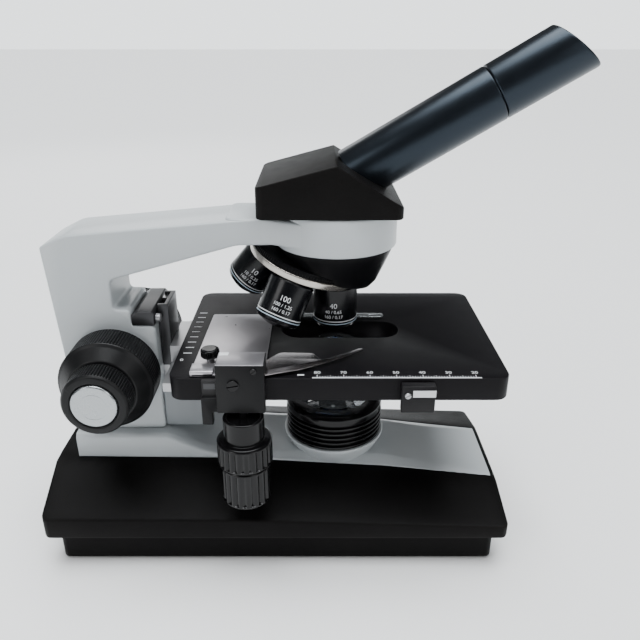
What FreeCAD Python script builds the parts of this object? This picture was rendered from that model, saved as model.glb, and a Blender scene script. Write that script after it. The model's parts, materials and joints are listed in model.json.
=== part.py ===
import FreeCAD, Part
import Sketcher
import math
import os
import re

# A monocular laboratory microscope. Lengths are in millimetres.
# The origin is where the optical axis meets the table; +X points away from the arm,
# +Y to the far side of the stage and +Z up. The head is turned to look away from the arm.

SIZES = {
    # Base and its light-coloured cover
    "base_back": -162.5, "base_front": 96, "base_half_width": 60.5, "base_floor": 1,
    "base_edge_back": 30.2, "base_edge_bow": 28, "base_edge_front": 27, "base_ridge_back": 50.5,
    "base_ridge_bend": 49, "base_ridge_bow": 43.7, "base_ridge_front": 35.5,
    "base_ridge_half": 27, "base_bend": -55, "base_bow": 30, "base_lip": 6.7, "base_inset": 6,
    "cover_half_width": 25, "cover_back": -150, "cover_foot": -97, "cover_foot_top": 65.5,
    "boss_radius": 29.9, "boss_top": 57, "foot_radius": 9,
    # Arm and column
    "arm_half": 18.5, "column_back": -152, "column_front": -99, "arm_top_back": 174,
    "arm_top_front": 191.4, "arm_back_top": -155, "arm_waist": 123.5, "arm_foot_back": -148.7,
    "notch_back": -120.6, "notch_floor": 140.6, "notch_roof": 157.7, "arm_under_front": 177.5,
    "ring_radius": 32.75, "ring_floor": 174.3, "ring_top": 194, "ring_bore": 22,
    "box_front": -75, "box_floor": 66.5, "box_top": 92,
    # Focus drive
    "focus_x": -122.5, "focus_z": 106.4, "bush_radius": 9, "coarse_shaft": 5, "fine_shaft": 3,
    "running_gap": 0.05, "coarse_radius": 25.4, "coarse_outer": 47.5,
    "knob_inner_near": 19.1, "knob_inner_far": 22.9, "fine_radius": 17.4,
    "fine_outer": 61.4, "cap_radius": 11.9, "cap_outer": 62, "tension_radius": 20,
    "gear_module": 0.8, "pinion_teeth": 14, "gear_backlash": 0.22, "gear_half": 3.2,
    "rail_front": -95.5, "rail_inner": 4.4, "rail_outer": 8.4, "carriage_front": -92.5,
    "carriage_floor": 103.5, "carriage_top": 141, "carriage_half": 11, "bracket_half": 17,
    "bracket_top": 118.5, "stop_back": -111.5, "stop_floor": 131.5, "stop_top": 139.6,
    # Stage
    "stage_back": -85, "stage_front": 87, "stage_half": 58.5, "stage_top": 120.7,
    "stage_floor": 108.3, "stage_corner": 7, "slot_back": -30.6, "slot_front": 36.8,
    "slot_near": -10.5, "slot_far": 12.4, "condenser_hole": 22.5,
    # Slide holder and its drive
    "block_left": -60, "block_right": -36, "block_near": -64.6, "block_far": -49.4,
    "block_top": 131, "block_floor": 104.5, "holder_left": -74, "holder_right": -36.6,
    "holder_near": -57, "holder_far": 18.6, "holder_bottom": 120.95, "holder_thick": 1.5,
    "drive_x": -47.5, "drive_y": -61.7, "drive_floor": 51.7, "drive_shoulder": 74,
    "drive_neck": 89, "drive_top": 101.5, "drive_spindle": 2, "drive_upper_radius": 10.5,
    "x_knob_radius": 12.8, "y_knob_radius": 14.3,
    # Condenser, collector and lamp
    "collector_radius": 28.7, "collector_floor": 57.05, "collector_top": 78.5, "collector_bore": 19,
    "condenser_radius": 18.5, "condenser_top": 113.2, "condenser_floor": 97,
    # Nosepiece and objectives
    "nose_tilt": 20, "nose_clock": -12, "nose_hole_z": 150.3, "nose_circle": 20.5,
    "nose_radius": 31, "nose_depth": 10.5, "nose_hub_drop": 6, "objective_radius": 12.35,
    "thread_radius": 10.16,
    # Head, tube and eyepiece
    "head_back": -40.5, "head_front": 32.4, "head_floor": 194.3, "head_half": 32.75,
    "head_back_top": 210, "head_apex": 220.4, "head_apex_x": -1, "head_front_top": 200.2,
    "tube_x": 15.4, "tube_z": 214, "tube_rise": 30.3, "tube_radius": 14.3, "tube_length": 73,
    "tube_root": 9, "tube_bore": 11.65, "eyepiece_end": 124, "guard_middle": 116,
    "eyepiece_insert": 11.6, "eyepiece_bore": 9,
}

doc = FreeCAD.newDocument("Microscope")
sheet = doc.addObject("Spreadsheet::Sheet", "Sizes")
for row, (alias, value) in enumerate(SIZES.items(), start=1):
    sheet.set(f"A{row}", alias)
    sheet.set(f"B{row}", str(value))
    sheet.setAlias(f"B{row}", alias)
doc.recompute()

nodes = []


# ---------------------------------------------------------------- helpers

def linked(text):
    """Turn bare size names in an expression into references to the sheet."""
    text = str(text).replace("- -", "+ ")
    return re.sub(r"[a-z_]+", lambda m: "Sizes." + m[0] if m[0] in SIZES else m[0], text)


def bind(thing, prop, text):
    thing.setExpression(prop, linked(text))


def keep(label, thing):
    """Name a finished sub-part; its label is its file name."""
    thing.Label = label
    nodes.append(thing)
    return thing


def put(thing, x=0, y=0, z=0, turn=None):
    """Place a feature at bound coordinates, with an optional fixed turn."""
    thing.Placement = FreeCAD.Placement(FreeCAD.Vector(), turn or FreeCAD.Rotation())
    for letter, text in zip("xyz", (x, y, z)):
        if text != 0:
            bind(thing, f"Placement.Base.{letter}", text)
    return thing


ALONG = {
    "+Z": FreeCAD.Rotation(),
    "-Z": FreeCAD.Rotation(FreeCAD.Vector(1, 0, 0), 180),
    "+X": FreeCAD.Rotation(FreeCAD.Vector(0, 1, 0), 90),
    "+Y": FreeCAD.Rotation(FreeCAD.Vector(1, 0, 0), -90),
    "-Y": FreeCAD.Rotation(FreeCAD.Vector(1, 0, 0), 90),
}


def cylinder(radius, height, x=0, y=0, z=0, along="+Z"):
    thing = doc.addObject("Part::Cylinder", "Cylinder")
    bind(thing, "Radius", radius)
    bind(thing, "Height", height)
    return put(thing, x, y, z, ALONG[along])


def box(x, y, z):
    """A box from (low, high) pairs of expressions."""
    thing = doc.addObject("Part::Box", "Box")
    for prop, (low, high) in zip(("Length", "Width", "Height"), (x, y, z)):
        bind(thing, prop, f"({high}) - ({low})")
    return put(thing, x[0], y[0], z[0])


def cut(base, *tools):
    for tool in tools:
        result = doc.addObject("Part::Cut", "Cut")
        result.Base, result.Tool = base, tool
        base = result
    return base


def fuse(*things):
    result = doc.addObject("Part::MultiFuse", "Fuse")
    result.Shapes = list(things)
    result.Refine = True
    return result


def group(*things):
    """Separate solids that share one node, such as a set of feet."""
    result = doc.addObject("Part::Compound", "Group")
    result.Links = list(things)
    return result


def common(*things):
    result = doc.addObject("Part::MultiCommon", "Common")
    result.Shapes = list(things)
    return result


def origin_plane(body, role):
    return next(f for f in body.Origin.OriginFeatures if f.Role == role)


def outline(body, role, points, offset=0):
    """A closed straight-sided sketch whose corners are bound to the sheet."""
    drawing = body.newObject("Sketcher::SketchObject", "Outline")
    drawing.AttachmentSupport = [(origin_plane(body, role), "")]
    drawing.MapMode = "FlatFace"
    bind(drawing, "AttachmentOffset.Base.z", offset)
    scope = {name: float(value) for name, value in SIZES.items()}
    corners = [tuple(sum_of(text, scope) for text in point) for point in points]
    for index, (u, v) in enumerate(corners):
        nu, nv = corners[(index + 1) % len(corners)]
        drawing.addGeometry(Part.LineSegment(FreeCAD.Vector(u, v, 0), FreeCAD.Vector(nu, nv, 0)))
    for index in range(len(corners)):
        following = (index + 1) % len(corners)
        drawing.addConstraint(Sketcher.Constraint("Coincident", index, 2, following, 1))
    for index, point in enumerate(points):
        for kind, text, value in zip(("DistanceX", "DistanceY"), point, corners[index]):
            number = drawing.addConstraint(Sketcher.Constraint(kind, -1, 1, index, 1, value))
            if any(name in str(text) for name in SIZES):
                drawing.setExpression(f"Constraints[{number}]", linked(text))
    return drawing


def sum_of(text, scope):
    """The value of a sum or difference of size names and numbers, such as 'a - b + 2'."""
    total = 0.0
    for sign, term in re.findall(r"([+-]?)\s*([a-z_]+|[0-9.]+)", str(text).replace("- -", "+ ")):
        amount = scope[term] if term in scope else float(term)
        total += -amount if sign == "-" else amount
    return total


def pad(name, role, points, start, length):
    """A straight prism of an outline drawn on an origin plane, starting at an offset."""
    body = doc.addObject("PartDesign::Body", name)
    drawing = outline(body, role, points, start)
    feature = body.newObject("PartDesign::Pad", "Pad")
    feature.Profile = drawing
    bind(feature, "Length", length)
    return body


def turned(name, points):
    """A solid turned about the Z axis from a half profile of (radius, height) corners."""
    body = doc.addObject("PartDesign::Body", name)
    drawing = outline(body, "XZ_Plane", points)
    feature = body.newObject("PartDesign::Revolution", "Revolution")
    feature.Profile = drawing
    feature.ReferenceAxis = (drawing, ["V_Axis"])
    feature.Angle = 360
    return body


def loft(name, sections):
    """A ruled body through YZ sections, each a (place along X, corners) pair."""
    body = doc.addObject("PartDesign::Body", name)
    drawings = [outline(body, "YZ_Plane", corners, x) for x, corners in sections]
    feature = body.newObject("PartDesign::AdditiveLoft", "Loft")
    feature.Profile = drawings[0]
    feature.Sections = drawings[1:]
    feature.Ruled = True
    return body


def rounded(thing, radius, chosen):
    """Fillet the edges for which chosen(edge) is true."""
    doc.recompute()
    result = doc.addObject("Part::Fillet", "Fillet")
    result.Base = thing
    picked = [i for i, e in enumerate(thing.Shape.Edges, start=1) if chosen(e)]
    result.Edges = [(i, radius, radius) for i in picked]
    return result


def upright(edge):
    """True for a straight edge along Z."""
    a, b = edge.Vertexes[0].Point, edge.Vertexes[-1].Point
    return edge.Curve.TypeId == "Part::GeomLine" and math.hypot(a.x - b.x, a.y - b.y) < 0.01


def both_sides(make):
    """The near and the far copy of a piece; make(sign, direction) builds one."""
    return make("-", "-Y"), make("", "+Y")


def size(name):
    return float(SIZES[name])


# ---------------------------------------------------------------- base

def negative(text):
    """The expression 'name - number' with its sign turned round."""
    name, number = text.split(" - ", 1)
    return f"{number} - {name}"


def roof(x, edge, ridge, inset, floor):
    """One YZ section of the base: upright sides and a roof that rises to the cover."""
    side, inner = f"base_half_width - {inset}", f"base_ridge_half - {max(inset, 0)}"
    return x, [(negative(side), floor), (side, floor), (side, edge),
               (inner, ridge), (negative(inner), ridge), (negative(side), edge)]


def base_solid(name, inset, lower, floor):
    """The base's full form, or its hollow when inset and lowered by a wall thickness."""
    return loft(name, [
        roof(x, f"{edge} - {lower}", f"{ridge} - {lower}", inset, floor) for x, edge, ridge in (
            (f"base_back + {inset}", "base_edge_back", "base_ridge_back"),
            ("base_bend", "base_edge_back", "base_ridge_bend"),
            ("base_bow", "base_edge_bow", "base_ridge_bow"),
            (f"base_front - {inset}", "base_edge_front", "base_ridge_front"))])


LOW = "base_edge_front - base_lip"
outside = base_solid("BaseForm", -6, 0, "base_floor")
skirt = fuse(
    rounded(box(("base_back", "base_front"), ("-base_half_width", "base_half_width"), (LOW, 60)),
            4, upright),
    rounded(box(("base_back + base_inset", "base_front - base_inset"),
                ("-base_half_width + base_inset", "base_half_width - base_inset"),
                (0, f"{LOW} + 1")), 4, upright))
lip_hollow = base_solid("LipHollow", 10, 4, 1)
keep("base_casting", cut(
    common(outside, skirt), lip_hollow,
    cylinder("collector_bore", 60, z=10),
    cylinder(3.06, 20, x=-165, y=30, z=9.6, along="+X"),
    box((-165, -145), (-38, -18), (7, 17)),
    box((-165, -145), (2, 16), (8.5, 15.5))))


def cover_section(x, floor, side, shoulder, top):
    """One YZ section of the cover: upright sides, sloping shoulders and a flat top."""
    half = [("cover_half_width - 0", floor), ("cover_half_width - 0", side),
            (f"cover_half_width - {shoulder}", top)]
    return x, half + [(negative(width), height) for width, height in half[::-1]]


# The arm's pedestal at the back runs down in a curve to a low plate that follows the base.
cover = loft("Cover", [
    cover_section("cover_back", 45, "cover_foot_top - 2", 2, "cover_foot_top"),
    cover_section("cover_foot", 45, "cover_foot_top - 2", 2, "cover_foot_top"),
    cover_section(-88, 45, 59, 3, 61.3),
    cover_section(-79, 45, 55, 4, 57.9),
    cover_section(-62, 45, 50.4, 5.5, 52.2),
    cover_section(-9, 40, 46.8, 6, 50),
    cover_section("base_bow", 40, 44.4, 6, 47.8),
    cover_section(61, 35, 40.4, 6, 42.1),
    cover_section("base_front - 3", 30, 36.2, 4, 36.8)])
boss = turned("Boss", [
    (0, 44), ("cover_half_width - 1", 44), ("boss_radius", "boss_top - 1.6"),
    ("boss_radius", "boss_top - 0.4"), ("boss_radius - 0.4", "boss_top"), (0, "boss_top")])
keep("base_cover", cut(fuse(cover, boss), base_solid("CoverSeat", -6, -0.05, 1),
                       cylinder("collector_bore", 60, z=10)))

keep("bottom_plate", rounded(
    box(("base_back + 11", "base_front - 11"), ("-base_half_width + 11", "base_half_width - 11"),
        ("base_floor + 0.1", "base_floor + 1.6")), 6, upright))

FOOT_PLACES = [(x, y) for x in (-140, 76) for y in (-40, 40)]
keep("rubber_feet", group(*[
    turned("Foot", [(0, 0), ("foot_radius - 0.5", 0), ("foot_radius", 0.5),
                    ("foot_radius", "base_floor + 0.1"), (0, "base_floor + 0.1")])
    for _ in FOOT_PLACES]))
for foot, (x, y) in zip(nodes[-1].Links, FOOT_PLACES):
    put(foot, x, y, 0)

keep("lamp_socket", cut(
    fuse(box((-60, -40), (-12, 12), ("base_floor + 1.7", 8)),
         cylinder(9, 15, x=-56, y=0, z=18, along="+X"),
         box((-58, -48), (-4, 4), (7, 14))),
    cylinder(5, 12, x=-50, y=0, z=18, along="+X")))
keep("lamp_bulb", put(turned("Bulb", [
    (0, 0), (4.8, 0), (4.8, 9), (6, 12), (6.5, 16), (6, 20), (3.5, 24), (0, 25)]),
    -49.8, 0, 18, ALONG["+X"]))
MIRROR_TILT = FreeCAD.Rotation(FreeCAD.Vector(0, 1, 0), -45)
mirror = box((0, 26), (-10, 10), (0, 2))
put(mirror, -9, -10, 8, MIRROR_TILT)
keep("lamp_mirror", common(fuse(mirror, box((-9, 12), (-8, 8), ("base_floor + 1.7", 9))),
                           box((-30, 30), (-12, 12), ("base_floor + 1.7", 28))))
keep("power_inlet", cut(
    box(("base_back + base_inset - 1", -146), (-37.8, -18.2), (7.2, 16.8)),
    box((-165, -152), (-35, -21), (9, 15))))
keep("power_rocker", cut(
    fuse(box(("base_back + base_inset - 1.6", -150), (3.1, 14.9), (8.9, 15.1)),
         cylinder(1.5, 6.8, x=-153, y=9, z=8.6)),
    cylinder(14, 16, x=-171.5, y=9, z=4)))
keep("brightness_dial", fuse(
    cylinder(3, 10, x="base_back + base_inset - 2.4", y=30, z=9.6, along="+X"),
    cylinder(5.6, 4.2, x="base_back + base_inset - 4.6", y=30, z=9.6, along="+X")))

# ---------------------------------------------------------------- arm and column

arm_plate = pad("Arm", "XZ_Plane", [
    ("arm_foot_back", "cover_foot_top + 0.05"), ("column_back", "arm_waist"),
    ("arm_back_top", "arm_top_back"), ("arm_back_top + 14", "arm_top_back + 8"),
    (-57, "arm_top_front - 1.4"), (-36, "arm_top_front"), (-20, "arm_top_front"),
    (-20, "arm_under_front"), (-52, "arm_under_front - 0.5"),
    ("notch_back", "notch_roof"), ("notch_back", "notch_floor"),
    ("column_front", "notch_floor"), ("column_front", "cover_foot_top + 0.05")],
    "-arm_half", "2 * arm_half")
arm_neck = pad("Neck", "XY_Plane", [
    (-60, "-arm_half"), (-38, "-arm_half"), (-14, -29), (0, -29), (0, 29), (-14, 29),
    (-38, "arm_half"), (-60, "arm_half")], "arm_under_front", 13.9)
keep("arm_casting", cut(
    fuse(arm_plate, arm_neck,
         cylinder("ring_radius", "ring_top - ring_floor", z="ring_floor")),
    cylinder("ring_bore", 60, z=160),
    box(("stop_back - 0.05", -95), (-20, 20), ("stop_floor - 0.05", 150)),
    cylinder("bush_radius", 60, x="focus_x", y=-30, z="focus_z", along="+Y"),
    cylinder(7.2, "2 * gear_half + 1.2", x="focus_x", y="-gear_half - 0.6", z="focus_z",
             along="+Y"),
    box((-118, -98), ("-gear_half - 0.5", "gear_half + 0.5"), ("box_top - 10", 128)),
    cylinder(3.1, 40, y=20, z=186, along="+Y")))

keep("arm_front_box", cut(
    box(("column_front + 0.05", "box_front"), (-17, 17), ("box_floor", "box_top")),
    box((-96, -79), (-13, 13), (60, "box_top - 3"))))

keep("stop_block", cut(
    pad("Stop", "XZ_Plane", [
        ("stop_back", "stop_floor"), ("column_front + 0.05", "stop_floor"),
        ("column_front + 0.05", "stop_top - 1.2"), ("column_front - 1.2", "stop_top"),
        ("stop_back + 3", "stop_top"), ("stop_back", "stop_top - 2")],
        "-arm_half", "2 * arm_half"),
    cylinder(1.55, 12, x=-107, y=-15, z=135, along="+X")))
keep("stop_pin", fuse(
    cylinder(1.5, 9, x=-106.8, y=-15, z=135, along="+X"),
    cylinder(2.4, 2.8, x="column_front + 0.3", y=-15, z=135, along="+X")))

RAIL_X = ("column_front + 0.1", "rail_front")
RAIL_Z = ("box_top + 1.5", "carriage_top - 2")
keep("focus_guide_rails", group(
    box(RAIL_X, ("-rail_outer", "-rail_inner"), RAIL_Z),
    box(RAIL_X, ("rail_inner", "rail_outer"), RAIL_Z)))


# ---------------------------------------------------------------- focus drive

def bush(sign, direction):
    body = turned("Bush", [
        ("coarse_shaft + running_gap", 0), ("bush_radius", 0), ("bush_radius", 8),
        ("coarse_shaft + running_gap", 8)])
    return put(body, "focus_x", f"{sign}(arm_half - 8.2)", "focus_z", ALONG[direction])


keep("focus_bushes", group(*both_sides(bush)))


def gear(name, teeth, width, bore):
    """A spur pinion: straight-flanked teeth, thinned by the backlash, on a bored hub."""
    module = size("gear_module")
    pitch, root, tip = module * teeth / 2, module * (teeth / 2 - 1.25), module * (teeth / 2 + 0.9)
    half_pitch = (math.pi * module / 2 - size("gear_backlash")) / (2 * pitch)
    flank = math.tan(math.radians(20))
    corners = []
    for tooth in range(teeth):
        middle = 2 * math.pi * (tooth + 0.5) / teeth
        for radius, side in ((root, -1), (tip, -1), (tip, 1), (root, 1)):
            half = half_pitch - (radius - pitch) * flank / pitch
            angle = middle + side * half
            corners.append(FreeCAD.Vector(radius * math.cos(angle), 0, radius * math.sin(angle)))
    wire = Part.makePolygon(corners + corners[:1])
    solid = Part.Face(wire).extrude(FreeCAD.Vector(0, width, 0))
    hole = Part.makeCylinder(bore, width, FreeCAD.Vector(), FreeCAD.Vector(0, 1, 0))
    thing = doc.addObject("Part::Feature", name)
    thing.Shape = solid.cut(hole)
    return thing


def rack_profile(module, low, count):
    """Corners of a vertical rack's teeth, pointing to -X from x = 0 at the pitch line."""
    pitch = math.pi * module
    flank = math.tan(math.radians(20))
    half = (pitch / 2 - size("gear_backlash")) / 2
    points = []
    for tooth in range(count):
        middle = low + (tooth + 0.5) * pitch
        for depth, side in ((1.25, -1), (-0.9, -1), (-0.9, 1), (1.25, 1)):
            reach = half + depth * module * flank
            points.append((depth * module, middle + side * reach))
    return points


PITCH_RADIUS = size("gear_module") * size("pinion_teeth") / 2
pinion = gear("Pinion", int(size("pinion_teeth")), 2 * size("gear_half"), 4.2)
put(pinion, "focus_x", "-gear_half", "focus_z")
coarse_tube = cut(
    cylinder("coarse_shaft", "2 * coarse_outer - 4", x="focus_x", y="-coarse_outer + 2",
             z="focus_z", along="+Y"),
    cylinder("fine_shaft + running_gap", 120, x="focus_x", y=-60, z="focus_z", along="+Y"),
    cut(cylinder(8, "2 * gear_half + 1", x="focus_x", y="-gear_half - 0.5", z="focus_z",
                 along="+Y"),
        cylinder(4.2, 12, x="focus_x", y=-6, z="focus_z", along="+Y")))
keep("coarse_shaft", fuse(coarse_tube, pinion))


def coarse_knob(sign, direction):
    """A knob with a tapered face; the far one starts further out to clear the tension ring."""
    inner = "knob_inner_near" if sign else "knob_inner_far"
    body = turned("CoarseKnob", [
        ("coarse_shaft + 0.02", 0), (21, 0), ("coarse_radius", 4),
        ("coarse_radius", f"coarse_outer - 7 - {inner}"),
        ("coarse_radius - 1.6", f"coarse_outer - 5.8 - {inner}"),
        ("fine_radius + 0.8", f"coarse_outer - {inner}"),
        ("coarse_shaft + 0.02", f"coarse_outer - {inner}")])
    return put(body, "focus_x", f"{sign}({inner})", "focus_z", ALONG[direction])


keep("coarse_knobs", group(*both_sides(coarse_knob)))
keep("fine_shaft", cylinder("fine_shaft", "2 * fine_outer - 4", x="focus_x",
                            y="-fine_outer + 2", z="focus_z", along="+Y"))


def fine_knob(sign, direction):
    body = turned("FineKnob", [
        ("fine_shaft + 0.02", 0), ("fine_radius", 0), ("fine_radius", 12.6), ("fine_radius - 1.3", 13.9),
        ("cap_radius + 0.2", 13.9), ("cap_radius + 0.2", 12), ("fine_shaft + 0.02", 12)])
    return put(body, "focus_x", f"{sign}(fine_outer - 13.9)", "focus_z", ALONG[direction])


def knob_cap(sign, direction):
    body = turned("Cap", [
        (0, 0), ("cap_radius", 0), ("cap_radius", 2), ("cap_radius - 0.6", 2.6), (0, 2.6)])
    return put(body, "focus_x", f"{sign}(cap_outer - 2.5)", "focus_z", ALONG[direction])


keep("fine_knobs", group(*both_sides(fine_knob)))
keep("fine_knob_caps", group(*both_sides(knob_cap)))
keep("tension_ring", put(turned("TensionRing", [
    ("bush_radius + 0.5", 0), ("tension_radius", 0), ("tension_radius", 3.4),
    ("bush_radius + 0.5", 3.4)]), "focus_x", "arm_half + 0.4", "focus_z", ALONG["+Y"]))

# ---------------------------------------------------------------- focusing slides

RACK_TEETH = 11
RACK_BACK = 3.2
teeth = rack_profile(
    size("gear_module"), size("focus_z") - RACK_TEETH / 2 * math.pi * size("gear_module"),
    RACK_TEETH)
corners = [FreeCAD.Vector(x, 0, z) for x, z in teeth]
corners += [FreeCAD.Vector(RACK_BACK, 0, teeth[-1][1]), FreeCAD.Vector(RACK_BACK, 0, teeth[0][1])]
rack = doc.addObject("Part::Feature", "Rack")
rack.Shape = Part.Face(Part.makePolygon(corners + corners[:1])).extrude(
    FreeCAD.Vector(0, 2 * size("gear_half"), 0))
put(rack, f"focus_x + {PITCH_RADIUS}", "-gear_half", 0)
keep("focus_rack", fuse(
    rack,
    box((f"focus_x + {PITCH_RADIUS} + 3", "rail_front + 0.35"), ("-gear_half", "gear_half"),
        ("carriage_floor + 1", "carriage_floor + 14"))))

keep("focus_carriage", cut(
    box(("column_front + 0.4", "carriage_front"), ("-carriage_half", "carriage_half"),
        ("carriage_floor", "carriage_top")),
    box(("column_front - 1", "rail_front + 0.35"), ("-rail_outer - 0.3", "rail_outer + 0.3"),
        (90, "carriage_top + 1"))))

FORK_X = ("carriage_front + 0.3", 22)
FORK_Z = ("stage_floor - 5", "stage_floor - 0.05")
keep("stage_bracket", fuse(
    box(("carriage_front + 0.3", "stage_back - 0.3"), ("-bracket_half", "bracket_half"),
        ("stage_floor - 5", "bracket_top")),
    box(("carriage_front + 0.3", -70), (-41, 41), FORK_Z),
    box(FORK_X, (-41, -29), FORK_Z),
    box(FORK_X, (29, 41), FORK_Z)))

# ---------------------------------------------------------------- stage

slot = rounded(box(("slot_back", "slot_front"), ("slot_near", "slot_far"), (90, 140)), 11.3,
               upright)
keep("stage_plate", cut(
    rounded(box(("stage_back", "stage_front"), ("-stage_half", "stage_half"),
                ("stage_floor", "stage_top")), size("stage_corner"), upright),
    slot,
    cylinder("condenser_hole", "stage_top - 5.5 - stage_floor + 1", z="stage_floor - 1")))

keep("stage_vernier", box((31.7, 48.5), ("-stage_half - 5", "-stage_half - 0.05"), (104, 119)))

# ---------------------------------------------------------------- slide holder

keep("carriage_block", cut(
    fuse(box(("block_left", "block_right"), ("block_near", "block_far"),
             ("holder_bottom + holder_thick + 0.6", "block_top")),
         box(("block_left", "block_right"), ("block_near", "-stage_half - 0.35"),
             ("block_floor", "block_top")),
         box((-68, "block_left + 1"), ("block_near + 1", "-stage_half - 0.35"),
             ("block_floor - 7.5", "block_floor + 8")),
         box(("block_left - 1", "block_right - 1"), ("block_near", "-stage_half - 0.35"),
             ("block_floor", "block_floor + 8"))),
    box(("block_left - 2.5", "block_right"), (-80, -50), (90, "block_floor")),
    cylinder("drive_spindle + 0.05", 9, x="drive_x", y="drive_y", z="block_floor - 1")))
keep("x_vernier_plate", box((-67.5, "block_left - 0.05"), (-61.4, "-stage_half - 0.35"),
                            ("block_floor + 8.05", 121)))
keep("x_drive_knob", put(turned("XKnob", [
    (0, "drive_floor + 1"), ("x_knob_radius - 5", "drive_floor + 1"),
    ("x_knob_radius - 4", "drive_floor"), ("x_knob_radius - 1", "drive_floor"),
    ("x_knob_radius", "drive_floor + 1"), ("x_knob_radius", "drive_shoulder - 1"),
    ("x_knob_radius - 1", "drive_shoulder"), ("drive_spindle", "drive_shoulder"),
    ("drive_spindle", "block_floor + 7.8"), (0, "block_floor + 7.8")]), "drive_x", "drive_y"))
keep("y_drive_knob", put(turned("YKnob", [
    ("drive_spindle + 0.06", "drive_shoulder + 0.5"), ("y_knob_radius - 1", "drive_shoulder + 0.5"),
    ("y_knob_radius", "drive_shoulder + 1.5"), ("y_knob_radius", "drive_neck - 1"),
    ("y_knob_radius - 1", "drive_neck"), ("drive_upper_radius", "drive_neck"),
    ("drive_upper_radius", "drive_top - 1"), ("drive_upper_radius - 1", "drive_top"),
    ("drive_spindle + 0.06", "drive_top")]), "drive_x", "drive_y"))

keep("holder_plate", fuse(
    box(("holder_left", "holder_right"), ("holder_near", "holder_far"),
        ("holder_bottom", "holder_bottom + holder_thick")),
    box(("holder_left", "holder_left + 12"), ("holder_near", "holder_near + 9"),
        ("holder_bottom", "holder_bottom + 3.2")),
    cylinder(2, 1.5, x=-43, y=-54.5, z="holder_bottom + 0.5")))
keep("fixed_finger", rounded(
    box(("holder_right + 0.05", 29.5), (15, 20.5), ("holder_bottom", "holder_bottom + 1.5")),
    2.5, upright))
keep("holder_thumbscrew", put(turned("Thumbscrew", [
    (0, 0), (4.9, 0), (4.9, 3.9), (4.3, 4.6), (0, 4.6)]),
    -65.5, -42, "holder_bottom + holder_thick + 2.6"))
keep("holder_stud", cylinder(2, 2.55, x=-65.5, y=-42, z="holder_bottom + holder_thick + 0.03"))
keep("spring_finger", cut(
    pad("Blade", "XY_Plane", [
        (-46.6, -56.4), (-45, -58), (-36.5, -58.6), (-18.9, -52.7), (-3.6, -44), (4.9, -38.4),
        (14.4, -30.5), (14.4, -29.5), (13, -28.5), (5, -34), (-8, -42.5), (-12, -34.5),
        (-30, -33.7), (-36, -42), (-46.6, -52.6)], "holder_bottom + holder_thick + 0.04", 0.5),
    cylinder(2.05, 5, x=-43, y=-54.5, z="holder_bottom")))

# ---------------------------------------------------------------- condenser and light path

keep("condenser_holder", cut(
    fuse(cylinder("condenser_radius + 3.4", 6, z=101),
         box((-12, 12), (14, 41), (101, "stage_floor - 5"))),
    cylinder("condenser_radius + 0.02", 30, z=90)))
keep("condenser_barrel", fuse(
    cut(turned("Barrel", [
            (8.05, "condenser_floor"), ("condenser_radius", "condenser_floor"),
            ("condenser_radius", 108), ("condenser_radius - 2", 111),
            ("condenser_radius - 6", "condenser_top"), (8.05, "condenser_top")]),
        box((-30, 30), (-30, -3), (98.5, 100.3))),
    cylinder(1.5, 3, y=16, z="condenser_floor - 2.6")))
keep("condenser_lens", turned("TopLens", [
    (0, 104), (8, 104), (8, "condenser_top - 0.5"), (6.5, "condenser_top"),
    (0, "condenser_top")]))
keep("iris_lever", fuse(
    box((-1.6, 1.6), (-31, -13), (98.9, 99.9)),
    cylinder(2.4, 5, y=-33, z=99.4, along="+Y")))
keep("filter_holder", cut(
    fuse(cylinder(15.2, 2, z=94.6), cylinder(3, 2, y=16, z=94.6)),
    cylinder(12.4, 5, z=93), cylinder(1.55, 5, y=16, z=93)))
keep("filter_glass", cylinder(12.38, 1.2, z=95))

keep("collector_housing", turned("Collector", [
    ("collector_bore", "collector_floor"), ("collector_radius", "collector_floor")] + [
    corner for rib in range(5) for corner in (
        ("collector_radius", f"collector_floor + {1.6 + 3.05 * rib:.2f}"),
        ("collector_radius - 1.6", f"collector_floor + {2.1 + 3.05 * rib:.2f}"),
        ("collector_radius - 1.6", f"collector_floor + {2.9 + 3.05 * rib:.2f}"),
        ("collector_radius", f"collector_floor + {3.4 + 3.05 * rib:.2f}"))] + [
    ("collector_radius", "collector_top - 2"), ("collector_radius - 2", "collector_top"),
    ("collector_bore + 1", "collector_top"), ("collector_bore + 1", "collector_top - 3"),
    ("collector_bore", "collector_top - 3")]))
keep("field_lens", turned("FieldLens", [
    (0, "collector_top - 10"), ("collector_bore - 0.05", "collector_top - 10"),
    ("collector_bore - 0.05", "collector_top - 6"), (12, "collector_top - 4.2"),
    (0, "collector_top - 3.4")]))

# ---------------------------------------------------------------- nosepiece

CLOCK = FreeCAD.Rotation(FreeCAD.Vector(0, 0, 1), size("nose_clock"))
TILT = FreeCAD.Rotation(FreeCAD.Vector(0, 1, 0), size("nose_tilt"))
NOSE_TURN = CLOCK.multiply(TILT)
WORKING_HOLE = FreeCAD.Vector(0, 0, size("nose_hole_z"))
NOSE_CENTRE = WORKING_HOLE - NOSE_TURN.multVec(FreeCAD.Vector(size("nose_circle"), 0, 0))


def on_nose(thing):
    """Move a piece drawn about the turret's axis, with the hole plane at z = 0, into place."""
    thing.Placement = FreeCAD.Placement(NOSE_CENTRE, NOSE_TURN)
    return thing


def at_hole(thing, index):
    """Move a piece drawn about an objective's axis, pointing down, to a turret hole."""
    spin = FreeCAD.Rotation(FreeCAD.Vector(0, 0, 1), -90 * index)
    lean = FreeCAD.Rotation(FreeCAD.Vector(0, 1, 0), -size("nose_tilt"))
    place = FreeCAD.Placement(NOSE_CENTRE, NOSE_TURN.multiply(spin))
    hole = FreeCAD.Placement(FreeCAD.Vector(size("nose_circle"), 0, 0), lean)
    thing.Placement = place.multiply(hole)
    return thing


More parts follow.
